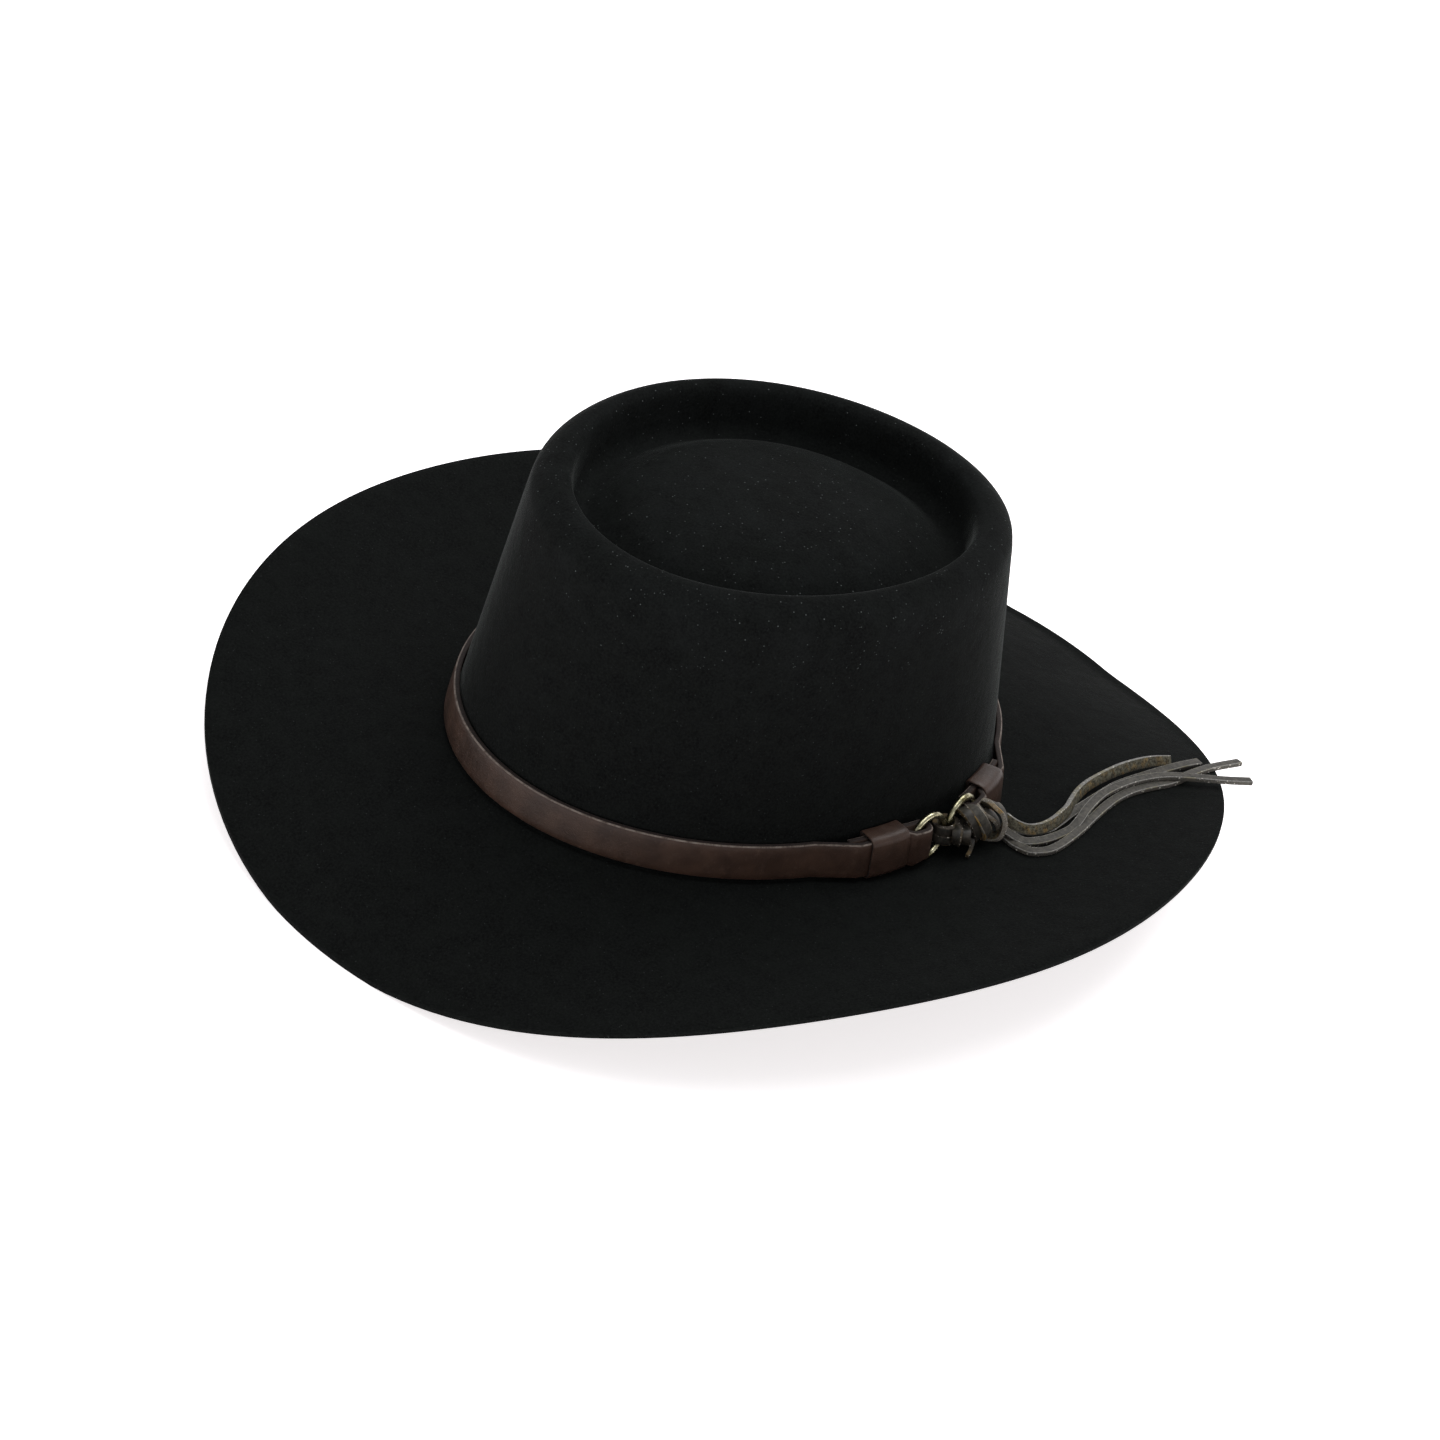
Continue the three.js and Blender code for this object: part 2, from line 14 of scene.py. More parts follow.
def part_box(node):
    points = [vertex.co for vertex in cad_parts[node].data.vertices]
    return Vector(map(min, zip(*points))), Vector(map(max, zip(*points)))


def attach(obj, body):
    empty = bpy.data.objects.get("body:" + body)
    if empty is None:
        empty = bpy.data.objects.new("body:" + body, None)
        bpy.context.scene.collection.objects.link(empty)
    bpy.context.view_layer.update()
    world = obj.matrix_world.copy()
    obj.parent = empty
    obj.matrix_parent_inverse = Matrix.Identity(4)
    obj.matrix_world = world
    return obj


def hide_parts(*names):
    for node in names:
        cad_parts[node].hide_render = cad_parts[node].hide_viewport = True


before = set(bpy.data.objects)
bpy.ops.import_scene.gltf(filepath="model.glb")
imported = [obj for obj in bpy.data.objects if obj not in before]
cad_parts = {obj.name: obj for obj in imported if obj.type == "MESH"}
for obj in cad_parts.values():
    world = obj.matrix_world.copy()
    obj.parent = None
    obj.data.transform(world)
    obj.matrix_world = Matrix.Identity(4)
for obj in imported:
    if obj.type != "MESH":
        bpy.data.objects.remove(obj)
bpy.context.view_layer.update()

MM = 0.001

# %% [markdown]
# The camera stands where the photograph was taken from: in front of the hat, to the wearer's left
# and above it, with a long lens and turned a little on its axis. A camera could be aimed with a
# Track To constraint, but the turn is easier to state by its three axes, so they are worked out
# from the angles and written to the camera's matrix.

# %% Camera
CAMERA_AZIMUTH = math.radians(38.62)
CAMERA_ELEVATION = math.radians(32.85)
CAMERA_ROLL = math.radians(12.22)
CAMERA_DISTANCE = 1664 * MM
CAMERA_TARGET = Vector((16.7, -26.35, 46.6)) * MM
CAMERA_LENS = 124.67
SENSOR_WIDTH = 36


def place_camera():
    flat = math.cos(CAMERA_ELEVATION)
    east, north = math.sin(CAMERA_AZIMUTH), -math.cos(CAMERA_AZIMUTH)
    back = Vector((east * flat, north * flat, math.sin(CAMERA_ELEVATION)))
    right = Vector((-north, east, 0))
    up = back.cross(right)
    across = right * math.cos(CAMERA_ROLL) + up * math.sin(CAMERA_ROLL)
    upright = up * math.cos(CAMERA_ROLL) - right * math.sin(CAMERA_ROLL)
    data = bpy.data.cameras.new("camera")
    data.lens = CAMERA_LENS
    data.sensor_width = SENSOR_WIDTH
    camera = bpy.data.objects.new("camera", data)
    bpy.context.scene.collection.objects.link(camera)
    place = Matrix((across, upright, back)).transposed().to_4x4()
    place.translation = CAMERA_TARGET + back * CAMERA_DISTANCE
    camera.matrix_world = place
    bpy.context.scene.camera = camera
    return camera


camera = place_camera()
print("camera at", [round(x, 3) for x in camera.location])

# %% [markdown]
# The felt's shape is two families of lines. Round the hat runs the turn, an angle counted from the
# wearer's left towards the back. Across it run the brim, the crown wall and the crown top, each with
# its own rule from the sizes below. The same sizes shaped the solid, so the dressed hat lies on it.

# %% Sizes of the felt
FELT = 2.2 * MM
HEAD_HALF_WIDTH = 84 * MM
HEAD_HALF_LENGTH = 104 * MM
BREAK_HEIGHT = 23.7 * MM
BREAK_PITCH = -4.5 * MM
CROWN_HEIGHT = 101 * MM
TOP_HALF_WIDTH = 74 * MM
TOP_HALF_LENGTH = 87 * MM
TOP_SHIFT_LEFT = 4.5 * MM
TOP_SHIFT_BACK = -5.5 * MM
TOP_PITCH = -3 * MM
TOP_SADDLE = 1.8 * MM
RIDGE_RADIUS = 9 * MM
RIDGE_CREST = 8.2 * MM
INNER_RIDGE_RADIUS = 4 * MM
PIT_SHIFT_LEFT = -1.2 * MM
PIT_SHIFT_BACK = 1.5 * MM
PIT_END_INSET = 3 * MM
PIT_FROM = 12 * MM
BRIM_WIDTH = 81.5 * MM
BRIM_CURL = 1.5
LEVEL_FROM = 0.96
EDGE_MEAN = -1.2 * MM
EDGE_PITCH = -1.4 * MM
EDGE_SADDLE = 18 * MM
EDGE_TWIST = -1.4 * MM
EDGE_QUARTER = -3.6 * MM
REST_EDGE = 0.94 * FELT


def blend(a, b, share):
    return a + (b - a) * share


def soft_step(value, low, high):
    share = min(max((value - low) / (high - low), 0), 1)
    return share * share * (3 - 2 * share)


def outward(turn):
    """The level direction square to the head oval."""
    return Vector((HEAD_HALF_LENGTH * math.cos(turn), HEAD_HALF_WIDTH * math.sin(turn), 0)).normalized()


def break_height(turn):
    return BREAK_HEIGHT + BREAK_PITCH * math.sin(turn)


def edge_height(turn):
    wave = EDGE_MEAN + EDGE_PITCH * math.sin(turn) + EDGE_SADDLE * math.cos(2 * turn)
    wave += EDGE_TWIST * math.sin(3 * turn) + EDGE_QUARTER * math.cos(4 * turn)
    return max(BREAK_HEIGHT + wave, REST_EDGE)


def top_height(turn, fade):
    wave = TOP_PITCH * math.sin(turn) * fade + TOP_SADDLE * math.cos(2 * turn) * fade * fade
    return BREAK_HEIGHT + CROWN_HEIGHT + wave


def brim_raw(turn, share):
    foot = break_height(turn)
    rise = edge_height(turn) - foot
    reach = (BRIM_WIDTH - 2 / 3 * rise * rise / BRIM_WIDTH) * share
    oval = Vector((HEAD_HALF_WIDTH * math.cos(turn), HEAD_HALF_LENGTH * math.sin(turn), 0))
    lift = foot + rise * min(share / LEVEL_FROM, 1) ** BRIM_CURL
    return oval + outward(turn) * reach + Vector((0, 0, lift))


# The frame's origin is under the middle of the felt, so all the rules share one shift along the hat
felt_low, felt_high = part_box("hat_body")
raw_middle = (brim_raw(math.pi / 2, 1).y + brim_raw(-math.pi / 2, 1).y) / 2
SHIFT = Vector((0, (felt_low[1] + felt_high[1]) / 2 - raw_middle, 0))
print("shift along the hat in mm:", round(SHIFT.y / MM, 2))


def brim_point(turn, share):
    """A point of the brim's upper side, from 0 at the crown to 1 at the cut edge."""
    return brim_raw(turn, share) + SHIFT


def wall_point(turn, height):
    """A point of the crown wall, at a height above the break."""
    share = height / CROWN_HEIGHT
    width = blend(HEAD_HALF_WIDTH, TOP_HALF_WIDTH, share)
    length = blend(HEAD_HALF_LENGTH, TOP_HALF_LENGTH, share)
    x = TOP_SHIFT_LEFT * share + width * math.cos(turn)
    y = TOP_SHIFT_BACK * share + length * math.sin(turn)
    return Vector((x, y, blend(break_height(turn), top_height(turn, 1), share))) + SHIFT


def top_point(turn, inset, keep, drop):
    """A point of the crown top: inset from the wall, drawn to the middle, dropped below the ridge."""
    share = 1 - RIDGE_RADIUS / CROWN_HEIGHT
    pit = soft_step(inset, 0, PIT_FROM)
    width = blend(HEAD_HALF_WIDTH, TOP_HALF_WIDTH, share) - inset
    length = blend(HEAD_HALF_LENGTH, TOP_HALF_LENGTH, share) - inset - PIT_END_INSET * pit
    x = TOP_SHIFT_LEFT + PIT_SHIFT_LEFT * pit + width * keep * math.cos(turn)
    y = TOP_SHIFT_BACK + PIT_SHIFT_BACK * pit + length * keep * math.sin(turn)
    return Vector((x, y, top_height(turn, keep) - drop)) + SHIFT


# %% [markdown]
# The band is easiest to model flat: x runs round the crown, y stands out of the felt and z is the
# height above the break. One function then bends any flat piece onto the crown. A Curve modifier
# could do that too, but the crown isn't round and it leans in, so the function follows the felt.

# %% Band space
STRAP_WIDTH = 12.8 * MM
STRAP_THICK = 2 * MM
STRAP_FOOT = 2 * MM
STRAP_LIFT = 1.1 * MM
LIFT_REACH = 60 * MM
STRAP_TAPER = 1.6 * MM
TAPER_FROM = 20 * MM
TAPER_TO = 14 * MM
STRAP_OUT = 0.45 * MM
GAP = 0.3 * MM
RING_RADIUS = 7.8 * MM
RING_WIRE = 1.2 * MM
RING_HEIGHT = 9.5 * MM
FRONT_RING_AT = 6 * MM
BACK_RING_AT = 24.4 * MM

STEPS = 720
oval_lengths = [0.0]
for k in range(STEPS):
    here = wall_point(k * math.tau / STEPS, STRAP_WIDTH / 2)
    ahead = wall_point((k + 1) * math.tau / STEPS, STRAP_WIDTH / 2)
    oval_lengths.append(oval_lengths[-1] + (ahead.xy - here.xy).length)
OVAL = oval_lengths[-1]
print("round the crown at the band:", round(OVAL / MM, 1), "mm")


def turn_at(distance):
    whole = math.floor(distance / OVAL)
    rest = distance - whole * OVAL
    k = min(int(rest / OVAL * STEPS), STEPS - 1)
    while k > 0 and oval_lengths[k] > rest:
        k -= 1
    while k < STEPS - 1 and oval_lengths[k + 1] < rest:
        k += 1
    part = (rest - oval_lengths[k]) / (oval_lengths[k + 1] - oval_lengths[k])
    return ((k + part) / STEPS + whole) * math.tau


def on_band(flat):
    """Bends a point of flat band space onto the crown."""
    turn = turn_at(flat.x)
    return wall_point(turn, flat.z) + outward(turn) * flat.y


# %% [markdown]
# Every strap, keeper and lace of the band is a flat strip of leather. A curve with a flat bevel
# would give its shape, but not a different look for its cut edges. So a strip starts as one small
# square-edged face, which is extruded from station to station; its long edges are then bevelled as
# a skiver rounds them. The cut edges and the worn corners of the grain side get slots of their own.

# %% A strip of leather
GRAIN_SIDE = 0
CUT_EDGE = 1
FLESH_SIDE = 2
WORN_CORNER = 3
CORNERS = ((-1, -1), (1, -1), (1, 1), (-1, 1))


def finish_piece(name, bm):
    """Makes the object from a bmesh and rides it on the hat."""
    mesh = bpy.data.meshes.new(name)
    bm.to_mesh(mesh)
    bm.free()
    piece = bpy.data.objects.new(name, mesh)
    bpy.context.scene.collection.objects.link(piece)
    for face in mesh.polygons:
        face.use_smooth = True
    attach(piece, "root")
    print(name, "has", len(mesh.polygons), "faces")
    return piece


def strip(stations, width, thick, round_edge, closed=False, cuts=0, place=None, worn=(1, 2)):
    """A bmesh strip through (middle, out, across) stations; out points off the grain side."""
    bm = bmesh.new()
    corner_of = bm.verts.layers.int.new("corner")
    across_of = bm.verts.layers.float.new("across")

    def put(verts, station):
        middle, out, across, *size = station
        wide = size[0] if size else width
        for vert in verts:
            side, up = CORNERS[vert[corner_of]]
            vert.co = middle + out * (side * thick / 2) + across * (up * wide / 2)
            vert[across_of] = up

    verts = [bm.verts.new() for corner in CORNERS]
    for number, vert in enumerate(verts):
        vert[corner_of] = number
    put(verts, stations[0])
    first = bm.faces.new(verts)
    cap = first
    for station in stations[1:]:
        grown = bmesh.ops.extrude_face_region(bm, geom=[cap])["geom"]
        put([g for g in grown if isinstance(g, bmesh.types.BMVert)], station)
        if cap is not first:
            bm.faces.remove(cap)
        cap = next(g for g in grown if isinstance(g, bmesh.types.BMFace))
    if closed:
        ends = list(first.edges) + list(cap.edges)
        bmesh.ops.delete(bm, geom=[first, cap], context="FACES_ONLY")
        bmesh.ops.bridge_loops(bm, edges=ends)
    for face in bm.faces:
        corners = tuple(sorted({v[corner_of] for v in face.verts}))
        face.material_index = {(1, 2): GRAIN_SIDE, (0, 3): FLESH_SIDE}.get(corners, CUT_EDGE)
    edges = {e for e in bm.edges if e.verts[0][corner_of] == e.verts[1][corner_of]}
    if not closed:
        edges.update(e for face in (first, cap) for e in face.edges)
    bmesh.ops.bevel(bm, geom=list(edges), offset=round_edge, segments=2, profile=0.5,
                    affect="EDGES", material=-1, clamp_overlap=True)
    for face in bm.faces:
        if {v[corner_of] for v in face.verts} in [{corner} for corner in worn]:
            face.material_index = WORN_CORNER
    if cuts:
        wide_edges = [e for e in bm.edges if abs(e.verts[0][across_of] - e.verts[1][across_of]) > 1]
        bmesh.ops.subdivide_edges(bm, edges=wide_edges, cuts=cuts, use_grid_fill=True)
    for vert in bm.verts:
        vert.co = place(vert.co) if place else vert.co
    bm.normal_update()
    bmesh.ops.recalc_face_normals(bm, faces=bm.faces[:])
    return bm


# %% [markdown]
# The four loose ends of the lace are free cords, so they are made first. Each is laid along the
# route that its solid follows over the brim, given as points: the turn in degrees, the distance out
# from the head and the height above the felt. A curve object could follow the same points, but the
# real lace is a flat thong that rolls on its way, and only a strip can show its rough flesh side,
# its pale cut edges and its roll.

# %% The routes of the loose ends
LACE_WIDTH = 3.4 * MM
LACE_THICK = 1.7 * MM
LACE_EDGE = 0.28 * MM
CORD_CLEAR = 0.1 * MM
CUT_WANDER = 0.05
CUT_WAVES = 120
SPAN_STEPS = 4

TAIL_ROUTES = {
    "lace_tail_1": ((20.2, 16.3, 7.4), (20.2, 18.7, 6.6), (20.5, 21.2, 5.6), (21.1, 23.9, 4.8),
                    (22.4, 25.8, 4.1), (24.1, 27.7, 3.8), (26, 29, 3.8), (28.5, 30, 3.8),
                    (31.2, 30.8, 3.8), (34.7, 31, 3.8), (37.7, 31.9, 3.8), (40.4, 33.8, 3.8),
                    (43.4, 37.4, 3.8), (48.3, 46, 3.8), (52, 56.4, 3.4), (53.5, 63.6, 2.8)),
    "lace_tail_2": ((22, 15.3, 4.4), (22.2, 18.1, 2.8), (22.2, 21.3, 1.9), (22.8, 24.2, 1.4),
                    (24.1, 26.7, 1.45), (25.8, 28.6, 1.45), (28.4, 29.9, 1.45), (31.3, 31.3, 1.45),
                    (33.3, 32.6, 1.45), (35.1, 34.2, 1.45), (37.8, 36.6, 1.45), (40.9, 39.8, 1.45),
                    (44, 43.8, 1.45), (48.4, 53.3, 1.45), (53.3, 66.8, 1.45), (55.7, 75.7, 1.4)),
    "lace_tail_3": ((19.6, 17, 1.6), (18.7, 20.3, 1.45), (18, 23.3, 1.45), (17.7, 26.3, 1.45),
                    (17.6, 29.4, 1.45), (18.4, 32, 1.45), (19.4, 33.9, 1.45), (21.2, 35.4, 1.45),
                    (23.5, 36.4, 1.45), (28.3, 37.9, 1.45), (33.6, 39.8, 1.45), (39.1, 43.5, 1.45),
                    (42.6, 48.2, 1.45), (45, 53.8, 1.45), (47.8, 62.4, 1.45), (52.1, 72, 1.45),
                    (54.9, 80.4, 1.45), (57.2, 91.8, 1.45)),
    "lace_tail_4": ((18.7, 17.9, 5.3), (19, 20.5, 4), (19.3, 23.5, 2.9), (20.1, 26.6, 2),
                    (21.6, 29.4, 1.5), (23.5, 31.7, 1.4), (25.7, 33.7, 1.6), (27.7, 35.2, 2.3),
                    (29.8, 36, 3.2), (32.5, 36.4, 3.8), (35.7, 37.5, 3.9), (39.1, 39.7, 3.9),
                    (42.6, 44.5, 3.9), (45.9, 51.8, 3.9), (48.2, 61.1, 3.9), (49.1, 72.5, 3.9),
                    (49.7, 81.9, 3.9), (50.7, 91.5, 3.8)),
}

# How each end lies: its cut length and width in mm, how far its upper side is rolled towards the
# brim's edge in degrees at its start, middle and tip, how many mm a flat strip settles below the
# line of its round solid, and which side of the leather is up
TAIL_LAYS = {
    "lace_tail_1": {"length": 97, "width": 3.8, "roll": (62, 74, 66), "settle": 0.1, "up": "flesh"},
    "lace_tail_2": {"length": 107, "width": 3.1, "roll": (20, 24, 12), "settle": 0.5, "up": "grain"},
    "lace_tail_3": {"length": 137, "width": 3.1, "roll": (14, 10, 4), "settle": 0.5, "up": "grain"},
    "lace_tail_4": {"length": 119, "width": 3.1, "roll": (24, 12, 8), "settle": 0.9, "up": "grain"},
}


def smooth_line(points, steps=SPAN_STEPS):
    """A centripetal Catmull-Rom line through points, which never loops or overshoots."""
    padded = [points[0] * 2 - points[1], *points, points[-1] * 2 - points[-2]]
    line = []
    for k in range(1, len(points)):
        a, b, c, d = padded[k - 1:k + 3]
        ta = (b - a).length ** 0.5
        tb = ta + (c - b).length ** 0.5
        tc = tb + (d - c).length ** 0.5
        for j in range(steps):
            t = blend(ta, tb, j / steps)
            ab = a.lerp(b, t / ta)
            bc = b.lerp(c, (t - ta) / (tb - ta))
            cd = c.lerp(d, (t - tb) / (tc - tb))
            early = ab.lerp(bc, t / tb)
            late = bc.lerp(cd, (t - ta) / (tc - ta))
            line.append(early.lerp(late, (t - ta) / (tb - ta)))
    return [*line, points[-1]]


def brim_normal(turn, share):
    """The direction square to the brim's upper side."""
    step = 0.01
    along = brim_point(turn + step, share) - brim_point(turn - step, share)
    out = brim_point(turn, share + step) - brim_point(turn, share - step)
    return out.cross(along).normalized()


def line_length(line):
    return sum((b - a).length for a, b in zip(line, line[1:]))


print({name: len(route) for name, route in TAIL_ROUTES.items()}, "points in the routes")

# %% The loose ends as flat strips


def tail_stations(route, lay):
    """Stations of a lace end, lifted so that no corner of the rolled strip enters the felt."""
    feet = [(math.radians(turn), out * MM / BRIM_WIDTH) for turn, out, lift in route]
    up = smooth_line([brim_normal(*foot) for foot in feet])
    ground = smooth_line([brim_point(*foot) for foot in feet])
    lifts = smooth_line([Vector((lift * MM, k * MM, 0)) for k, (turn, out, lift) in enumerate(route)])
    last = len(ground) - 1
    wide = lay["width"] * MM
    start, middle, tip = lay["roll"]
    stations = []
    for k, foot in enumerate(ground):
        tangent = (ground[min(k + 1, last)] - ground[max(k - 1, 0)]).normalized()
        across = tangent.cross(up[k]).normalized()
        out = across.cross(tangent)
        share = 2 * k / last
        if share < 1:
            roll = math.radians(blend(start, middle, soft_step(share, 0, 1)))
        else:
            roll = math.radians(blend(middle, tip, soft_step(share, 1, 2)))
        turn = Matrix.Rotation(roll, 3, tangent)
        half = abs(math.sin(roll)) * wide / 2 + LACE_THICK / 2
        height = max(lifts[k].x - lay["settle"] * MM, half + CORD_CLEAR)
        width = wide * (1 + CUT_WANDER * noise.noise(foot * CUT_WAVES))
        stations.append((foot + up[k] * height, turn @ out, turn @ across, width))
    return stations


tails = {}
for name, route in TAIL_ROUTES.items():
    lay = TAIL_LAYS[name]
    stations = tail_stations(route, lay)
    line = [station[0] for station in stations]
    borders = (1,) if lay["up"] == "flesh" else (1, 2)
    wide = lay["width"] * MM
    thong = strip(stations, wide, LACE_THICK, LACE_EDGE, worn=borders)
    tail = finish_piece(name + "_thong", thong)
    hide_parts(name)
    tuple(line[0])
    [tuple(p) for p in line]
    tails[name] = tail
    print(name, "runs", round(line_length(line) / MM, 1), "mm")

# %% [markdown]
# The felt is one skin, blocked from a cone with no seam. It could be a subdivision surface over a
# few rings, but the crisp cut edge and the tight fold at the foot of the crown would go soft. So a
# circle of points is extruded ring by ring, each ring placed by the rules above, and the skin then
# gets its wall with solidify, as felt has the same thickness all over.

# %% The rings of the felt
TURNS = 192
BRIM_RINGS = 36
WALL_RINGS = 14
FOLD_SIZE = 1.9 * MM
FOLD_RINGS = 5
CENTRE_DROP = 3.1 * MM
FELT_EDGE = 0.3 * MM
CRISP_ANGLE = math.radians(60)

# The crown top from the ridge inwards: inset from the wall, share kept to the middle, drop
OUTER_ANGLES = (0, 30, 60)
INNER_ANGLES = (0, 40, 75)
TOP_ROWS = ((13, 1, 9), (14.5, 1, 14.5), (18, 1, 17), (23, 1, 14.8), (28, 1, 11.5), (31.5, 0.95, 8.6),
            (31.5, 0.7, 5.6), (31.5, 0.35, 3.7), (31.5, 0.02, CENTRE_DROP / MM))


def crown_top_rows():
    """The rows of the crown top as (inset, keep, drop), smoothed between the sized ones."""
    rows = []
    for angle in OUTER_ANGLES:
        a = math.radians(angle)
        rows.append(Vector((RIDGE_RADIUS * (1 - math.cos(a)), MM, RIDGE_RADIUS * (1 - math.sin(a)))))
    for angle in INNER_ANGLES:
        a = math.radians(angle)
        inset = RIDGE_CREST + INNER_RIDGE_RADIUS * math.sin(a)
        rows.append(Vector((inset, MM, INNER_RIDGE_RADIUS * (1 - math.cos(a)))))
    rows += [Vector((inset, keep, drop)) * MM for inset, keep, drop in TOP_ROWS]
    return [(row.x, row.y / MM, row.z) for row in smooth_line(rows)]


def fold_point(turn, share):
    """The small rounded fold between brim and crown."""
    a = brim_point(turn, FOLD_SIZE / BRIM_WIDTH)
    b = wall_point(turn, 0)
    c = wall_point(turn, FOLD_SIZE)
    return a.lerp(b, share).lerp(b.lerp(c, share), share)


def felt_rules():
    """One rule from turn to point for each ring, from the cut edge to the middle of the crown."""
    rules = []
    for k in range(BRIM_RINGS):
        share = blend(1, FOLD_SIZE / BRIM_WIDTH, k / BRIM_RINGS)
        rules.append(lambda turn, share=share: brim_point(turn, share))
    for k in range(FOLD_RINGS + 1):
        rules.append(lambda turn, share=k / FOLD_RINGS: fold_point(turn, share))
    for k in range(1, WALL_RINGS):
        height = blend(FOLD_SIZE, CROWN_HEIGHT - RIDGE_RADIUS, k / WALL_RINGS)
        rules.append(lambda turn, height=height: wall_point(turn, height))
    for row in crown_top_rows():
        rules.append(lambda turn, row=row: top_point(turn, *row))
    return rules


print(len(felt_rules()), "rings of felt")

# %% The felt's skin and wall


def felt_skin():
    bm = bmesh.new()
    turn_of = bm.verts.layers.float.new("turn")
    bmesh.ops.create_circle(bm, cap_ends=False, radius=1, segments=TURNS)
    for vert in bm.verts:
        vert[turn_of] = math.atan2(vert.co.y, vert.co.x)
    rules = felt_rules()
    ring = bm.verts[:]
    edges = bm.edges[:]
    for vert in ring:
        vert.co = rules[0](vert[turn_of])
    for rule in rules[1:]:
        grown = bmesh.ops.extrude_edge_only(bm, edges=edges)["geom"]
        ring = [g for g in grown if isinstance(g, bmesh.types.BMVert)]
        row = set(ring)
        edges = [g for g in grown if isinstance(g, bmesh.types.BMEdge) and set(g.verts) <= row]
        for vert in ring:
            vert.co = rule(vert[turn_of])
    bmesh.ops.pointmerge(bm, verts=ring, merge_co=top_point(0, 0, 0, CENTRE_DROP))
    bmesh.ops.recalc_face_normals(bm, faces=bm.faces[:])
    return bm


def felt_wall(bm):
    """Gives the skin its thickness inwards, levels what it rests on and eases the cut edge."""
    if sum(face.normal.z * face.calc_area() for face in bm.faces) < 0:
        bmesh.ops.reverse_faces(bm, faces=bm.faces[:])
    bmesh.ops.solidify(bm, geom=bm.faces[:], thickness=FELT)
    for vert in bm.verts:
        vert.co.z = max(vert.co.z, 0)
    bm.normal_update()
    crisp = [e for e in bm.edges if e.is_manifold and e.calc_face_angle() > CRISP_ANGLE]
    bmesh.ops.bevel(bm, geom=crisp, offset=FELT_EDGE, segments=2, profile=0.5, affect="EDGES",
                    material=-1)
    return bm


felt_mesh = felt_wall(felt_skin())
heights = [vert.co.z / MM for vert in felt_mesh.verts]
print("felt from", round(min(heights), 2), "to", round(max(heights), 2), "mm")
felt = finish_piece("felt", felt_mesh)
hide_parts("hat_body")

# %% [markdown]
# The strap is one belt of vegetable-tanned leather. Each end passes through a ring and is folded
# back under itself, so the strap's line is drawn from above, fold and all, and the strip is swept
# along it. It rides up a little towards the rings, and is skived narrower where it folds.

# %% The strap
KEEPER_THICK = 1 * MM
KEEPER_ROOM = 0.9 * MM
KEEPER_LENGTH = 15.5 * MM
KEEPER_FROM_FOLD = 7.8 * MM
FOLD_ROOM = 0.4 * MM
FOLD_FROM_RING = 4 * MM
FOLD_STEP_FROM = 5.6 * MM
FOLD_STEP_TO = 7.6 * MM
FOLD_TURN_STEP = 15
FOLD_LEVEL_TO = 2.8 * MM
RETURN_LENGTH = 30 * MM
RETURN_STEP = 3
STEP_LENGTH = 12 * MM
ROUND_STEPS = 150
STRAP_SWELL = 0.2 * MM
STRAP_EDGE = 0.4 * MM
STRAP_CUTS = 5
FOLD_RADIUS = RING_WIRE + FOLD_ROOM + STRAP_THICK / 2
UNDER_LAYER_OUT = GAP + KEEPER_THICK + KEEPER_ROOM + STRAP_THICK / 2
OVER_LAYER_OUT = UNDER_LAYER_OUT + STRAP_THICK + KEEPER_ROOM
FOLD_OUT = UNDER_LAYER_OUT + FOLD_RADIUS
FRONT_FOLD = FRONT_RING_AT - FOLD_FROM_RING
BACK_FOLD = BACK_RING_AT + FOLD_FROM_RING


def from_rings(x):
    far = abs(x - (FRONT_RING_AT + BACK_RING_AT) / 2)
    return min(far, OVAL - far)


def strap_taper(x):
    return STRAP_TAPER * (1 - soft_step(from_rings(x), TAPER_TO, TAPER_FROM))


def strap_foot(x):
    lift = STRAP_LIFT * (1 - soft_step(from_rings(x), 0, LIFT_REACH))
    return STRAP_FOOT + lift + strap_taper(x) / 2


def fold_line(at, sign):
    """The strap's line at one end in (along, out): return, fold, and the step back to the felt."""
    returns = range(round(RETURN_LENGTH / MM), 0, -RETURN_STEP)
    line = [Vector((at - sign * back * MM, UNDER_LAYER_OUT)) for back in returns]
    for angle in range(-90, 91, FOLD_TURN_STEP):
        a = math.radians(angle)
        across, rise = FOLD_RADIUS * math.cos(a), FOLD_RADIUS * math.sin(a)
        line.append(Vector((at + sign * across, FOLD_OUT + rise)))
    line.append(Vector((at - sign * FOLD_LEVEL_TO, FOLD_OUT + FOLD_RADIUS)))
    line.append(Vector((at - sign * FOLD_STEP_FROM, FOLD_OUT + FOLD_RADIUS)))
    line.append(Vector((at - sign * FOLD_STEP_TO, OVER_LAYER_OUT)))
    line += [Vector((at - sign * back * MM, OVER_LAYER_OUT)) for back in (10, 13, 16, 19, 22, 25, 27)]
    return line


def strap_line():
    front = fold_line(FRONT_FOLD, 1)
    back = fold_line(BACK_FOLD - OVAL, -1)
    start = FRONT_FOLD - RETURN_LENGTH - STEP_LENGTH
    end = BACK_FOLD - OVAL + RETURN_LENGTH + STEP_LENGTH
    rounds = [blend(start, end, k / ROUND_STEPS) for k in range(ROUND_STEPS + 1)]
    middle = [Vector((x, STRAP_OUT + STRAP_THICK / 2)) for x in rounds]
    return [*front, *middle, *reversed(back)]


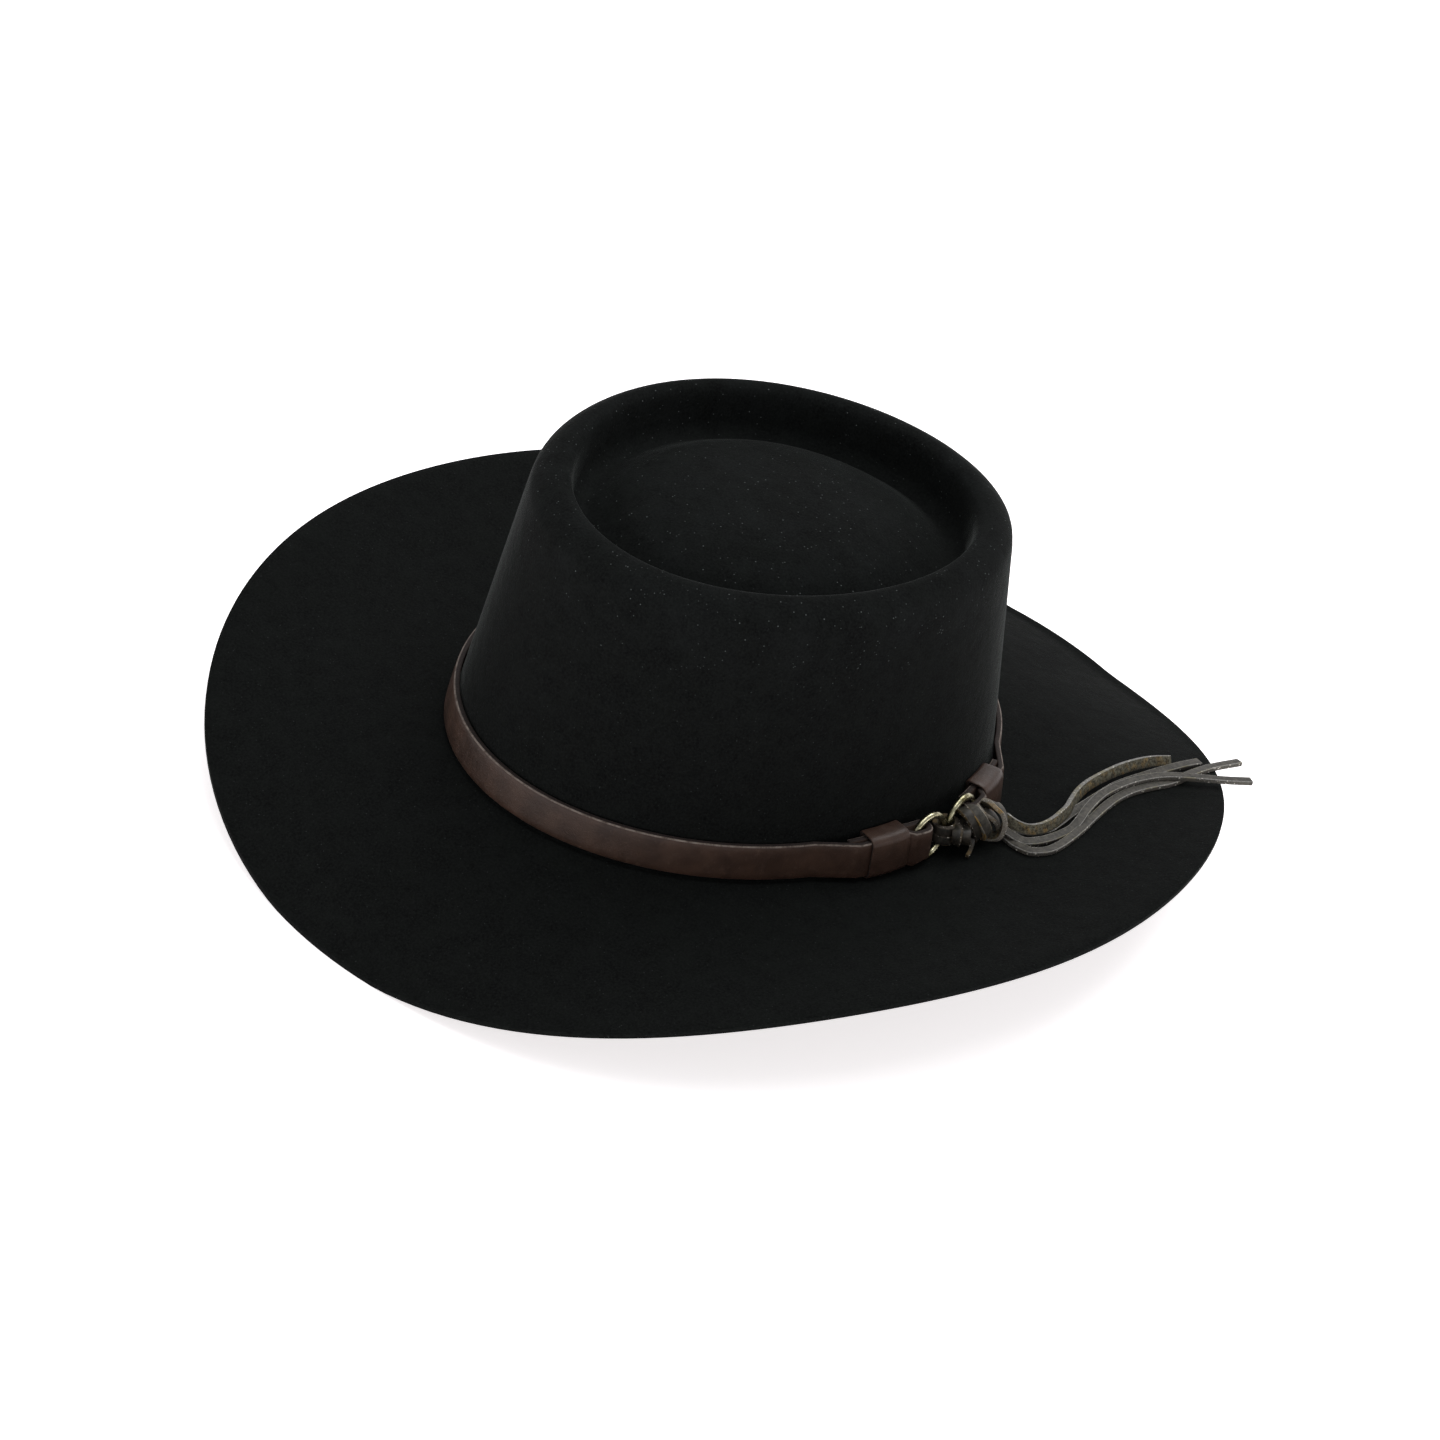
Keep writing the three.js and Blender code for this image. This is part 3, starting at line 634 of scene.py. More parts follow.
def strap_stations():
    line = strap_line()
    stations = []
    for k, here in enumerate(line):
        along = (line[min(k + 1, len(line) - 1)] - line[max(k - 1, 0)]).normalized()
        width = STRAP_WIDTH - strap_taper(here.x)
        middle = Vector((here.x, here.y, width / 2))
        stations.append((middle, Vector((along.y, -along.x, 0)), Vector((0, 0, 1)), width))
    return stations


def on_strap(flat):
    """Lifts a flat strap point to the strap's foot, swells the strap's middle, and bends it round."""
    share = 2 * flat.z / (STRAP_WIDTH - strap_taper(flat.x)) - 1
    swell = STRAP_SWELL * (1 - min(share * share, 1))
    return on_band(Vector((flat.x, flat.y + swell, flat.z + strap_foot(flat.x))))


belt = strip(strap_stations(), STRAP_WIDTH, STRAP_THICK, STRAP_EDGE, cuts=STRAP_CUTS,
             place=on_strap, worn=(2,))
strap = finish_piece("strap", belt)
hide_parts("band_strap")

# %% [markdown]
# A keeper is a short wide loop of thinner leather, butted at the back, that holds the doubled end of
# the strap down. It is the same strip, swept round the strap's section as a closed loop.

# %% The keepers
KEEPER_CORNER = 2.4 * MM
NEAR_CORNER = 0.8 * MM
KEEPER_SWELL = 0.25 * MM
KEEPER_EDGE = 0.3 * MM
KEEPER_CUTS = 7
KEEPER_TURN_STEP = 18


def keeper_stations(start):
    low = -GAP - KEEPER_THICK / 2
    high = STRAP_WIDTH + GAP + KEEPER_THICK / 2
    near = GAP + KEEPER_THICK / 2
    far = OVER_LAYER_OUT + STRAP_THICK / 2 + GAP + KEEPER_THICK / 2
    stations = []
    corners = ((far, high, 0), (near, high, 90), (near, low, 180), (far, low, 270))
    for out, up, turn in corners:
        corner = NEAR_CORNER if out == near else KEEPER_CORNER
        centre = Vector((start + KEEPER_LENGTH / 2, out + corner * (1 if out == near else -1),
                         up + corner * (1 if up == low else -1)))
        for step in range(0, 91, KEEPER_TURN_STEP):
            a = math.radians(turn + step)
            away = Vector((0, math.cos(a), math.sin(a)))
            stations.append((centre + away * corner, away, Vector((1, 0, 0))))
    return stations


def keeper_point(start):
    def place(flat):
        share = 2 * (flat.x - start) / KEEPER_LENGTH - 1
        swell = KEEPER_SWELL * (1 - min(share * share, 1)) if flat.y > OVER_LAYER_OUT else 0
        return on_band(Vector((flat.x, flat.y + swell, flat.z + strap_foot(flat.x))))
    return place


KEEPER_STARTS = {
    "keeper_front": FRONT_FOLD - KEEPER_FROM_FOLD - KEEPER_LENGTH,
    "keeper_back": BACK_FOLD + KEEPER_FROM_FOLD,
}
keepers = {}
for name, start in KEEPER_STARTS.items():
    loop = strip(keeper_stations(start), KEEPER_LENGTH, KEEPER_THICK, KEEPER_EDGE, closed=True,
                 cuts=KEEPER_CUTS, place=keeper_point(start))
    keepers[name] = finish_piece(name + "_loop", loop)
    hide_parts(name)

# %% [markdown]
# The rings are bent from drawn brass wire and brazed. A torus could be added whole, but spinning the
# wire's round section is how the operator makes it, and the flat ring can then be bent onto the crown
# with the same function as the strap.

# %% The rings
RING_STEPS = 72
WIRE_SIDES = 16


def spun_ring(at):
    bm = bmesh.new()
    bmesh.ops.create_circle(bm, cap_ends=False, radius=RING_WIRE, segments=WIRE_SIDES)
    bmesh.ops.translate(bm, vec=(RING_RADIUS, 0, 0), verts=bm.verts[:])
    bmesh.ops.spin(bm, geom=bm.verts[:] + bm.edges[:], cent=(0, 0, 0), axis=(0, 1, 0), angle=math.tau,
                   steps=RING_STEPS, use_merge=True)
    bmesh.ops.remove_doubles(bm, verts=bm.verts[:], dist=MM / 1000)
    for vert in bm.verts:
        flat = Vector((at + vert.co.x, FOLD_OUT + vert.co.y, RING_HEIGHT + vert.co.z))
        vert.co = on_band(flat)
    bm.normal_update()
    bmesh.ops.recalc_face_normals(bm, faces=bm.faces[:])
    return bm


rings = {}
for name, at in (("ring_front", FRONT_RING_AT), ("ring_back", BACK_RING_AT)):
    rings[name] = finish_piece(name + "_wire", spun_ring(at))
    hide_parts(name)

# %% [markdown]
# The knot is one lace wound through both rings. Two turns lash the rings together, and are closed
# strips. The other strands come out of the back ring and cross over each other, and each is an open
# strip along a few points in band space: how far round, how far out, how high. Cloth simulation
# can't tie a knot, so every strand is laid one by one, its face turned away from the knot's heart.

# %% The lashing of the rings

# Each turn has its middle and its half sizes, along and out, in mm of band space
LASHINGS = {
    "lashing_low": {"at": (15.2, 5.7, 6.9), "half": (5.4, 4.4)},
    "lashing_high": {"at": (15.2, 5.7, 10.2), "half": (5.3, 4.3)},
}
LASHING_STEPS = 28
KNOT_EDGE = 0.25 * MM


def lashing_stations(shape):
    """Stations of a level closed turn, an ellipse round both rings."""
    long, deep = (size * MM - LACE_THICK / 2 for size in shape["half"])
    centre = Vector(shape["at"]) * MM
    stations = []
    for k in range(LASHING_STEPS):
        a = k * math.tau / LASHING_STEPS
        middle = Vector((long * math.cos(a), deep * math.sin(a), 0))
        away = Vector((deep * math.cos(a), long * math.sin(a), 0)).normalized()
        stations.append((centre + middle, away, Vector((0, 0, 1))))
    return stations


knot = {}
for name, shape in LASHINGS.items():
    turn = strip(lashing_stations(shape), LACE_WIDTH, LACE_THICK, KNOT_EDGE, closed=True,
                 place=on_band)
    knot[name] = finish_piece("knot_" + name, turn)
    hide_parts("lace_knot")

# %% The crossing strands
KNOT_HEART = Vector((25, 7, 8)) * MM
STRAND_WANDER = 0.06
STRAND_WAVES = 200

# Each strand has its width and thickness in mm, its lean in degrees and its line in mm
STRANDS = {
    "slanted_front": {"width": 3.4, "thick": 1.7, "lean": 10, "line": (
        (25.6, 4, 11.4), (21.1, 8, 15), (19.6, 11, 15.6), (20.1, 13, 13.5), (22, 13.5, 9.3),
        (26, 11.8, 3.6), (27.5, 8.5, 2.6))},
    "slanted_back": {"width": 3.6, "thick": 1.7, "lean": -15, "line": (
        (30.5, 4, 10.4), (25.6, 8, 14.4), (22.9, 11.5, 16), (22.4, 14, 15.2), (23.9, 15, 12),
        (27.1, 14.8, 6.9), (30, 12.5, 3), (31, 10, 2.6))},
    "to_end_turn": {"width": 3.4, "thick": 1.7, "lean": 0, "line": (
        (33, 4, 8), (30.7, 8, 12), (27.4, 12, 14.2), (28.9, 14, 13), (32.8, 15, 8.3),
        (35.5, 14.5, 4))},
    "end_turn": {"width": 3.4, "thick": 1.7, "lean": 0, "line": (
        (33.5, 6, 9), (31.6, 10, 13.8), (29.9, 13, 16.4), (29.5, 15.5, 17), (30.8, 17.3, 15),
        (31.6, 18.4, 11.5), (31.9, 18, 7.2), (31.8, 16.5, 4), (31.2, 14, 2.8), (30, 11, 2.6))},
    "knob_low": {"width": 3.1, "thick": 2.2, "lean": 0, "line": (
        (19.8, 7, 8.3), (15.6, 10.5, 11.2), (13.3, 12, 11), (13.8, 11.7, 7.9), (17.4, 9, 4.4))},
    "knob_middle": {"width": 3.1, "thick": 2.2, "lean": 0, "line": (
        (22.6, 8, 7.6), (18.1, 12, 10.6), (16.2, 13.5, 10.2), (17.2, 12.9, 7), (20.6, 10, 3.6))},
    "short_end": {"width": 1.9, "thick": 1.3, "lean": 0, "line": (
        (21.5, 12.4, 6), (20.2, 13.6, 4.4), (18, 14.6, 3.2), (16.2, 15, 2.5))},
}


def strand_stations(strand):
    """Stations of an open strand; its face looks away from the heart, turned by its lean."""
    line = smooth_line([Vector(p) * MM for p in strand["line"]])
    stations = []
    for k, here in enumerate(line):
        along = (line[min(k + 1, len(line) - 1)] - line[max(k - 1, 0)]).normalized()
        away = here - KNOT_HEART
        away = (away - along * away.dot(along)).normalized()
        out = Matrix.Rotation(math.radians(strand["lean"]), 3, along) @ away
        width = strand["width"] * MM * (1 + STRAND_WANDER * noise.noise(here * STRAND_WAVES))
        stations.append((here, out, along.cross(out), width))
    return stations


for name, strand in STRANDS.items():
    piece = strip(strand_stations(strand), strand["width"] * MM, strand["thick"] * MM, KNOT_EDGE,
                  place=on_band)
    knot[name] = finish_piece("knot_" + name, piece)
    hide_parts("lace_knot")

# %% [markdown]
# Behind the strands the lace is packed tight. No strand can be followed there, so two lumps fill the
# knot's heart, each an icosphere that is pushed about with noise until it looks pinched.

# %% The heart of the knot
HEARTS = {
    "heart_front": {"at": (20.6, 9, 8), "size": (4.2, 3.6, 3.8)},
    "heart_back": {"at": (28, 11, 8), "size": (4.4, 4, 4.2)},
}
HEART_ROUGH = 0.16
LUMPS = 1.6
PINCHES = 4
PINCH_SHARE = 0.4

for name, shape in HEARTS.items():
    bm = bmesh.new()
    bmesh.ops.create_icosphere(bm, subdivisions=4, radius=1)
    seed = Vector(shape["at"])
    for vert in bm.verts:
        swell = noise.noise(vert.co * LUMPS + seed)
        swell += PINCH_SHARE * noise.noise(vert.co * PINCHES + seed)
        grown = vert.co * (1 + HEART_ROUGH * swell)
        flat = Vector([(a + b * c) * MM for a, b, c in zip(shape["at"], shape["size"], grown)])
        vert.co = on_band(flat)
    bm.normal_update()
    bmesh.ops.recalc_face_normals(bm, faces=bm.faces[:])
    knot[name] = finish_piece("knot_" + name, bm)
    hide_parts("lace_knot")

# %% [markdown]
# Every finish is a small graph of nodes. One function turns a colour, given as sRGB hex, to
# the linear numbers that the shader works in, and one function adds a node with its settings and
# links, so that each finish below reads as a list of what it is made of.

# %% Helpers for finishes
NOISE = "ShaderNodeTexNoise"
CELLS = "ShaderNodeTexVoronoi"
RANGE = "ShaderNodeMapRange"
MIX = "ShaderNodeMix"
BUMP = "ShaderNodeBump"
MATHS = "ShaderNodeMath"

# A Mix node's sockets for colours go by number: its three inputs, then its output
SHARE, LOW, HIGH = 0, 6, 7
MIXED = 2


def linear(hex_colour):
    values = [int(hex_colour[k:k + 2], 16) / 255 for k in (1, 3, 5)]
    return tuple(v / 12.92 if v <= 0.04045 else ((v + 0.055) / 1.055) ** 2.4 for v in values) + (1.0,)


def add(tree, kind, inputs=None, **settings):
    """Adds a node; an input is a number, a hex colour or another node's socket."""
    made = tree.nodes.new(kind)
    for key, value in settings.items():
        setattr(made, key, value)
    for key, value in (inputs or {}).items():
        if isinstance(value, bpy.types.NodeSocket):
            tree.links.new(value, made.inputs[key])
        else:
            made.inputs[key].default_value = linear(value) if isinstance(value, str) else value
    return made


def new_finish(name, roughness, metallic=0.0, **numbers):
    """A material with one Principled shader, and the object's own coordinates in metres."""
    material = bpy.data.materials.new(name)
    material.use_nodes = True
    tree = material.node_tree
    shader = tree.nodes["Principled BSDF"]
    shader.inputs["Roughness"].default_value = roughness
    shader.inputs["Metallic"].default_value = metallic
    for key, value in numbers.items():
        shader.inputs[key.replace("_", " ")].default_value = value
    place = tree.nodes.new("ShaderNodeTexCoord").outputs["Object"]
    return material, tree, shader, place


def colour_and_bump(tree, shader, colour, bump):
    tree.links.new(colour.outputs[MIXED], shader.inputs["Base Color"])
    tree.links.new(bump.outputs["Normal"], shader.inputs["Normal"])


def per_mm(size):
    """The scale at which a pattern repeats about every so many millimetres."""
    return 1 / (size * MM)


# %% [markdown]
# Black fur felt is rabbit or beaver fur, matted with steam, dyed and pounced with fine grit. The
# eye sees almost no gloss, a soft nap of short fibres that catches light at the turned edges, a
# slight unevenness of the dye, and many tiny specks of pale lint, most of them on the crown top.
# A pale haze over the crown top is partly dust and partly painted sheen.

# %% Black fur felt
NAP_SIZE = 0.8
NAP_MOTTLE = 7
LINT_SPACING = 3
FINE_LINT_SPACING = 1.3
LINT_SIZE = 0.27
LINT_CORE = 0.12
DUST_AND_SHEEN_DRIFT = 16
DUST_AND_SHEEN_FROM = 95 * MM
DUST_AND_SHEEN_TO = 118 * MM

fur_felt, tree, shader, place = new_finish("black_fur_felt", 0.95, Specular_IOR_Level=0.05,
                                           Sheen_Weight=0.17, Sheen_Roughness=0.18)
shader.inputs["Sheen Tint"].default_value = linear("#bcc3bf")
nap = add(tree, NOISE, {"Vector": place, "Scale": per_mm(NAP_SIZE), "Detail": 5, "Roughness": 0.65})
mottle = add(tree, NOISE, {"Vector": place, "Scale": per_mm(NAP_MOTTLE), "Detail": 5})
uneven = add(tree, RANGE, {"Value": mottle.outputs["Fac"], "From Min": 0.35, "From Max": 0.65})
tips = add(tree, RANGE, {"Value": nap.outputs["Fac"], "From Min": 0.35, "From Max": 0.7})
dyed = add(tree, MIX,
           {SHARE: uneven.outputs["Result"], LOW: "#080909", HIGH: "#0e100f"}, data_type="RGBA")
napped = add(tree, MIX,
             {SHARE: tips.outputs["Result"], LOW: dyed.outputs[MIXED], HIGH: "#171918"}, data_type="RGBA")
# A pale haze that thickens towards the crown top, partly dust and partly painted sheen; the lint gathers
# there too
level = add(tree, "ShaderNodeSeparateXYZ", {"Vector": place})
dust_and_sheen_by_height = add(tree, RANGE,
            {"Value": level.outputs["Z"], "From Min": DUST_AND_SHEEN_FROM, "From Max": DUST_AND_SHEEN_TO,
             "To Min": 0.2, "To Max": 1.0})
dust_and_sheen_drift = add(tree, NOISE, {"Vector": place, "Scale": per_mm(DUST_AND_SHEEN_DRIFT), "Detail": 7, "Roughness": 0.7})
thick = add(tree, RANGE,
            {"Value": dust_and_sheen_drift.outputs["Fac"], "From Min": 0.4, "From Max": 0.75, "To Max": 0.12})
dust_and_sheen_veil = add(tree, MATHS, {0: thick.outputs["Result"], 1: dust_and_sheen_by_height.outputs["Result"]}, operation="MULTIPLY")
coat = add(tree, MIX,
           {SHARE: dust_and_sheen_veil.outputs["Value"], LOW: napped.outputs[MIXED], HIGH: "#313536"}, data_type="RGBA")
for spacing, least in ((LINT_SPACING, 0.7), (FINE_LINT_SPACING, 0.82)):
    cells = add(tree, CELLS, {"Vector": place, "Scale": per_mm(spacing), "Randomness": 1.0})
    near = add(tree, RANGE,
               {"Value": cells.outputs["Distance"], "From Min": LINT_SIZE / spacing,
                "From Max": LINT_CORE / spacing})
    lot = add(tree, "ShaderNodeSeparateColor", {"Color": cells.outputs["Color"]})
    chosen = add(tree, RANGE, {"Value": lot.outputs["Red"], "From Min": least, "From Max": 1.0})
    speck = add(tree, MATHS,
                {0: near.outputs["Result"], 1: chosen.outputs["Result"]}, operation="MULTIPLY")
    shown = add(tree, MATHS,
                {0: speck.outputs["Value"], 1: dust_and_sheen_by_height.outputs["Result"]}, operation="MULTIPLY")
    coat = add(tree, MIX,
               {SHARE: shown.outputs["Value"], LOW: coat.outputs[MIXED], HIGH: "#5f6463"},
               data_type="RGBA")
waves = add(tree, BUMP, {"Height": mottle.outputs["Fac"], "Distance": 0.3 * MM})
fuzz = add(tree, BUMP,
           {"Height": nap.outputs["Fac"], "Distance": 0.14 * MM, "Normal": waves.outputs["Normal"]})
colour_and_bump(tree, shader, coat, fuzz)
felt.data.materials.append(fur_felt)
print(fur_felt.name, "nap", NAP_SIZE, "mm")

# %% [markdown]
# The strap is vegetable-tanned cowhide, dyed dark brown through the grain and waxed. The grain side
# has fine pores and a soft satin shine, with lighter brown where it has been bent and rubbed. The
# cut edges are dyed too, but along the corner of the grain side the dye has rubbed off to a fine
# pale line.

# %% Waxed strap leather
PORE_SIZE = 0.6
CREASE_SIZE = 2.4
STRAP_MOTTLE = 9

strap_grain, tree, shader, place = new_finish("waxed_brown_strap_leather", 0.42, Specular_IOR_Level=0.3)
pores = add(tree, CELLS, {"Vector": place, "Scale": per_mm(PORE_SIZE)})
creases = add(tree, NOISE,
              {"Vector": place, "Scale": per_mm(CREASE_SIZE), "Detail": 6, "Roughness": 0.65})
mottle = add(tree, NOISE, {"Vector": place, "Scale": per_mm(STRAP_MOTTLE), "Detail": 5})
uneven = add(tree, RANGE, {"Value": mottle.outputs["Fac"], "From Min": 0.35, "From Max": 0.65})
rub = add(tree, RANGE, {"Value": creases.outputs["Fac"], "From Min": 0.56, "From Max": 0.82})
shine = add(tree, RANGE,
            {"Value": creases.outputs["Fac"], "From Min": 0.3, "From Max": 0.7, "To Min": 0.36,
             "To Max": 0.52})
brown = add(tree, MIX,
            {SHARE: uneven.outputs["Result"], LOW: "#30221b", HIGH: "#3f2e25"}, data_type="RGBA")
rubbed = add(tree, MIX,
             {SHARE: rub.outputs["Result"], LOW: brown.outputs[MIXED], HIGH: "#4b3a31"}, data_type="RGBA")
tree.links.new(shine.outputs["Result"], shader.inputs["Roughness"])
folds = add(tree, BUMP, {"Height": creases.outputs["Fac"], "Distance": 0.1 * MM})
grain = add(tree, BUMP,
            {"Height": pores.outputs["Distance"], "Distance": 0.05 * MM,
             "Normal": folds.outputs["Normal"]})
colour_and_bump(tree, shader, rubbed, grain)

strap_edge, tree, shader, place = new_finish("raw_strap_edge", 0.8, Specular_IOR_Level=0.3)
fibres = add(tree, NOISE, {"Vector": place, "Scale": per_mm(0.5), "Detail": 5})
torn = add(tree, RANGE, {"Value": fibres.outputs["Fac"], "From Min": 0.35, "From Max": 0.7})
raw = add(tree, MIX, {SHARE: torn.outputs["Result"], LOW: "#191311", HIGH: "#322824"}, data_type="RGBA")
rough = add(tree, BUMP, {"Height": fibres.outputs["Fac"], "Distance": 0.12 * MM})
colour_and_bump(tree, shader, raw, rough)

strap_flesh, tree, shader, place = new_finish("strap_flesh_side", 0.85, Specular_IOR_Level=0.25)
fibres = add(tree, NOISE, {"Vector": place, "Scale": per_mm(0.8), "Detail": 6})
raw = add(tree, MIX, {SHARE: fibres.outputs["Fac"], LOW: "#2a1f1b", HIGH: "#4a3a31"}, data_type="RGBA")
rough = add(tree, BUMP, {"Height": fibres.outputs["Fac"], "Distance": 0.15 * MM})
colour_and_bump(tree, shader, raw, rough)

worn_corner, tree, shader, place = new_finish("worn_strap_corner", 0.7, Specular_IOR_Level=0.35)
wear = add(tree, NOISE, {"Vector": place, "Scale": per_mm(3), "Detail": 6, "Roughness": 0.7})
worn = add(tree, RANGE, {"Value": wear.outputs["Fac"], "From Min": 0.36, "From Max": 0.6})
pale = add(tree, MIX, {SHARE: worn.outputs["Result"], LOW: "#3c2f28", HIGH: "#756b63"}, data_type="RGBA")
tree.links.new(pale.outputs[MIXED], shader.inputs["Base Color"])

for piece in (strap, *keepers.values()):
    corner = worn_corner if piece == strap else strap_grain
    for material in (strap_grain, strap_edge, strap_flesh, corner):
        piece.data.materials.append(material)
print("strap leather on", 1 + len(keepers), "pieces")

# %% [markdown]
# The lace is a thong cut from oiled split leather: dark on its smooth side, rough and mottled olive
# brown on its flesh side, and pale grey where the knife went through, with a few loose white fibres
# and a tinge of ochre where the oil stayed.

# %% Oiled lace leather
FLESH_BLOTCH = 1.1
FIBRE_SPACING = 1.4
# Strands of the knot that lie in its shade; with the lashing and the heart they get darker copies of the
# smooth side and the cut edge, which are painted shade
SHADED_STRANDS = ("slanted_front", "knob_low", "knob_middle", "short_end")


def lace_smooth_side(name, roughness, patch, worn_at, dark, pale, depth):
    """The finish of the lace's smooth side: dark, and paler in patches where it has been bent."""
    side, tree, shader, place = new_finish(name, roughness, Specular_IOR_Level=0.35)
    wear = add(tree, NOISE, {"Vector": place, "Scale": per_mm(patch), "Detail": 6, "Roughness": 0.7})
    worn = add(tree, RANGE,
               {"Value": wear.outputs["Fac"], "From Min": worn_at[0], "From Max": worn_at[1]})
    colour = add(tree, MIX, {SHARE: worn.outputs["Result"], LOW: dark, HIGH: pale}, data_type="RGBA")
    rough = add(tree, BUMP, {"Height": wear.outputs["Fac"], "Distance": depth * MM})
    colour_and_bump(tree, shader, colour, rough)
    return side


def knife_cut_edge(name, dark, pale, ochre):
    """The finish of a cut edge: torn fibres from dark to pale, an ochre tinge, a few white tufts."""
    edge, tree, shader, place = new_finish(name, 0.85, Specular_IOR_Level=0.3)
    fibres = add(tree, NOISE, {"Vector": place, "Scale": per_mm(0.5), "Detail": 4, "Roughness": 0.7})
    torn = add(tree, RANGE, {"Value": fibres.outputs["Fac"], "From Min": 0.35, "From Max": 0.65})
    cut = add(tree, MIX, {SHARE: torn.outputs["Result"], LOW: dark, HIGH: pale}, data_type="RGBA")
    oil = add(tree, NOISE, {"Vector": place, "Scale": per_mm(6), "Detail": 3})
    oiled = add(tree, RANGE, {"Value": oil.outputs["Fac"], "From Min": 0.5, "From Max": 0.62})
    tinged = add(tree, MIX,
                 {SHARE: oiled.outputs["Result"], LOW: cut.outputs[MIXED], HIGH: ochre}, data_type="RGBA")
    fluff = add(tree, CELLS, {"Vector": place, "Scale": per_mm(FIBRE_SPACING)})
    tuft = add(tree, RANGE, {"Value": fluff.outputs["Distance"], "From Min": 0.26, "From Max": 0.14})
    tufted = add(tree, MIX,
                 {SHARE: tuft.outputs["Result"], LOW: tinged.outputs[MIXED], HIGH: "#cbc7bd"},
                 data_type="RGBA")
    rough = add(tree, BUMP, {"Height": fibres.outputs["Fac"], "Distance": 0.1 * MM})
    colour_and_bump(tree, shader, tufted, rough)
    return edge


lace_grain = lace_smooth_side("oiled_lace_grain", 0.6, 1.6, (0.38, 0.68), "#282621", "#504c44", 0.08)
# A darker copy of the smooth side: painted shade on the pieces of the knot that lie in its shade
shaded_lace_grain = lace_smooth_side("painted_shade_lace_grain", 0.5, 2, (0.42, 0.7), "#1f1e1a", "#423d36", 0.1)
# A dark copy of the cut edge: painted shade on the same pieces
shaded_lace_edge = knife_cut_edge("painted_shade_lace_edge", "#241f1a", "#4b453d", "#54462e")
# A darker grey copy of the cut edge: painted shade on the cut edges of the ends that lie smooth side up
shaded_grey_edge = knife_cut_edge("painted_shade_grey_lace_edge", "#33312d", "#66635c", "#56524a")
pale_edge = knife_cut_edge("pale_lace_edge", "#5f5e5a", "#969490", "#7d7866")
# A paler copy of the cut edge with a stronger ochre tinge: painted highlight for the strands on top of
# the knot, where the light falls
lit_lace_edge = knife_cut_edge("painted_highlight_lace_edge", "#6d675e", "#a59f93", "#a0834f")

lace_flesh, tree, shader, place = new_finish("mottled_lace_flesh", 0.9, Specular_IOR_Level=0.25)
blotch = add(tree, NOISE,
             {"Vector": place, "Scale": per_mm(FLESH_BLOTCH), "Detail": 6, "Roughness": 0.75})
streak = add(tree, NOISE, {"Vector": place, "Scale": per_mm(2.6), "Detail": 5})
dark = add(tree, RANGE, {"Value": blotch.outputs["Fac"], "From Min": 0.4, "From Max": 0.6})
warm = add(tree, RANGE, {"Value": streak.outputs["Fac"], "From Min": 0.48, "From Max": 0.7})
olive = add(tree, MIX, {SHARE: warm.outputs["Result"], LOW: "#646152", HIGH: "#7f683f"}, data_type="RGBA")
mottled = add(tree, MIX,
              {SHARE: dark.outputs["Result"], LOW: "#302c24", HIGH: olive.outputs[MIXED]},
              data_type="RGBA")
rough = add(tree, BUMP, {"Height": blotch.outputs["Fac"], "Distance": 0.12 * MM})
colour_and_bump(tree, shader, mottled, rough)

# A strip's slots are its upper side, its cut edges, its lower side and the corners of its upper side
for name, tail in tails.items():
    # The ends that lie smooth side up get the grey copy on their cut edges: painted shade
    finishes = (lace_grain, shaded_grey_edge, lace_flesh, pale_edge)
    if TAIL_LAYS[name]["up"] == "flesh":
        finishes = (lace_flesh, pale_edge, lace_grain, pale_edge)
    for material in finishes:
        tail.data.materials.append(material)
for name, piece in knot.items():
    # The knot's lashing, its heart and the strands in its shade get the dark copies: painted shade
    shaded = name in LASHINGS or name in HEARTS or name in SHADED_STRANDS
    # The other strands of the knot get the pale copy of the cut edge: painted highlight
    edge = shaded_lace_edge if shaded else lit_lace_edge
    for material in (shaded_lace_grain if shaded else lace_grain, edge, lace_flesh, edge):
        piece.data.materials.append(material)
print("lace leather on", len(tails) + len(knot), "pieces")

# %% [markdown]
# The rings are brass with an antique finish: a brown-green tarnish that has been rubbed off where
# the strap and lace move, so the bright metal shows on the high sides.

# %% Antique brass
TARNISH_SIZE = 3

antique_brass, tree, shader, place = new_finish("antique_brass", 0.3, metallic=1.0)
tarnish = add(tree, NOISE,
              {"Vector": place, "Scale": per_mm(TARNISH_SIZE), "Detail": 6, "Roughness": 0.65})
dull = add(tree, RANGE, {"Value": tarnish.outputs["Fac"], "From Min": 0.4, "From Max": 0.62})
matt = add(tree, RANGE,
           {"Value": tarnish.outputs["Fac"], "From Min": 0.4, "From Max": 0.65, "To Min": 0.16,
            "To Max": 0.38})
colour = add(tree, MIX,
             {SHARE: dull.outputs["Result"], LOW: "#d3ceae", HIGH: "#6b6546"}, data_type="RGBA")
pits = add(tree, BUMP, {"Height": tarnish.outputs["Fac"], "Distance": 0.08 * MM})
tree.links.new(matt.outputs["Result"], shader.inputs["Roughness"])
colour_and_bump(tree, shader, colour, pits)
for piece in rings.values():
    piece.data.materials.append(antique_brass)
print("brass on", len(rings), "rings")

# %% [markdown]
# The photograph was taken on a white sweep, lit from behind and above by a broad soft box, so the
# sides that face the viewer are the darkest. A round cove, white and glowing a little as a lit sweep
# does, keeps the ground pale from every side. It is one profile, spun round.

# %% The white cove
COVE_PROFILE = ((0.3, 0), (1, 0), (3.6, 0), (4.2, 0.06), (4.7, 0.28), (4.95, 0.7), (5, 1.2))
COVE_GLOW = 0.74
COVE_STEPS = 64

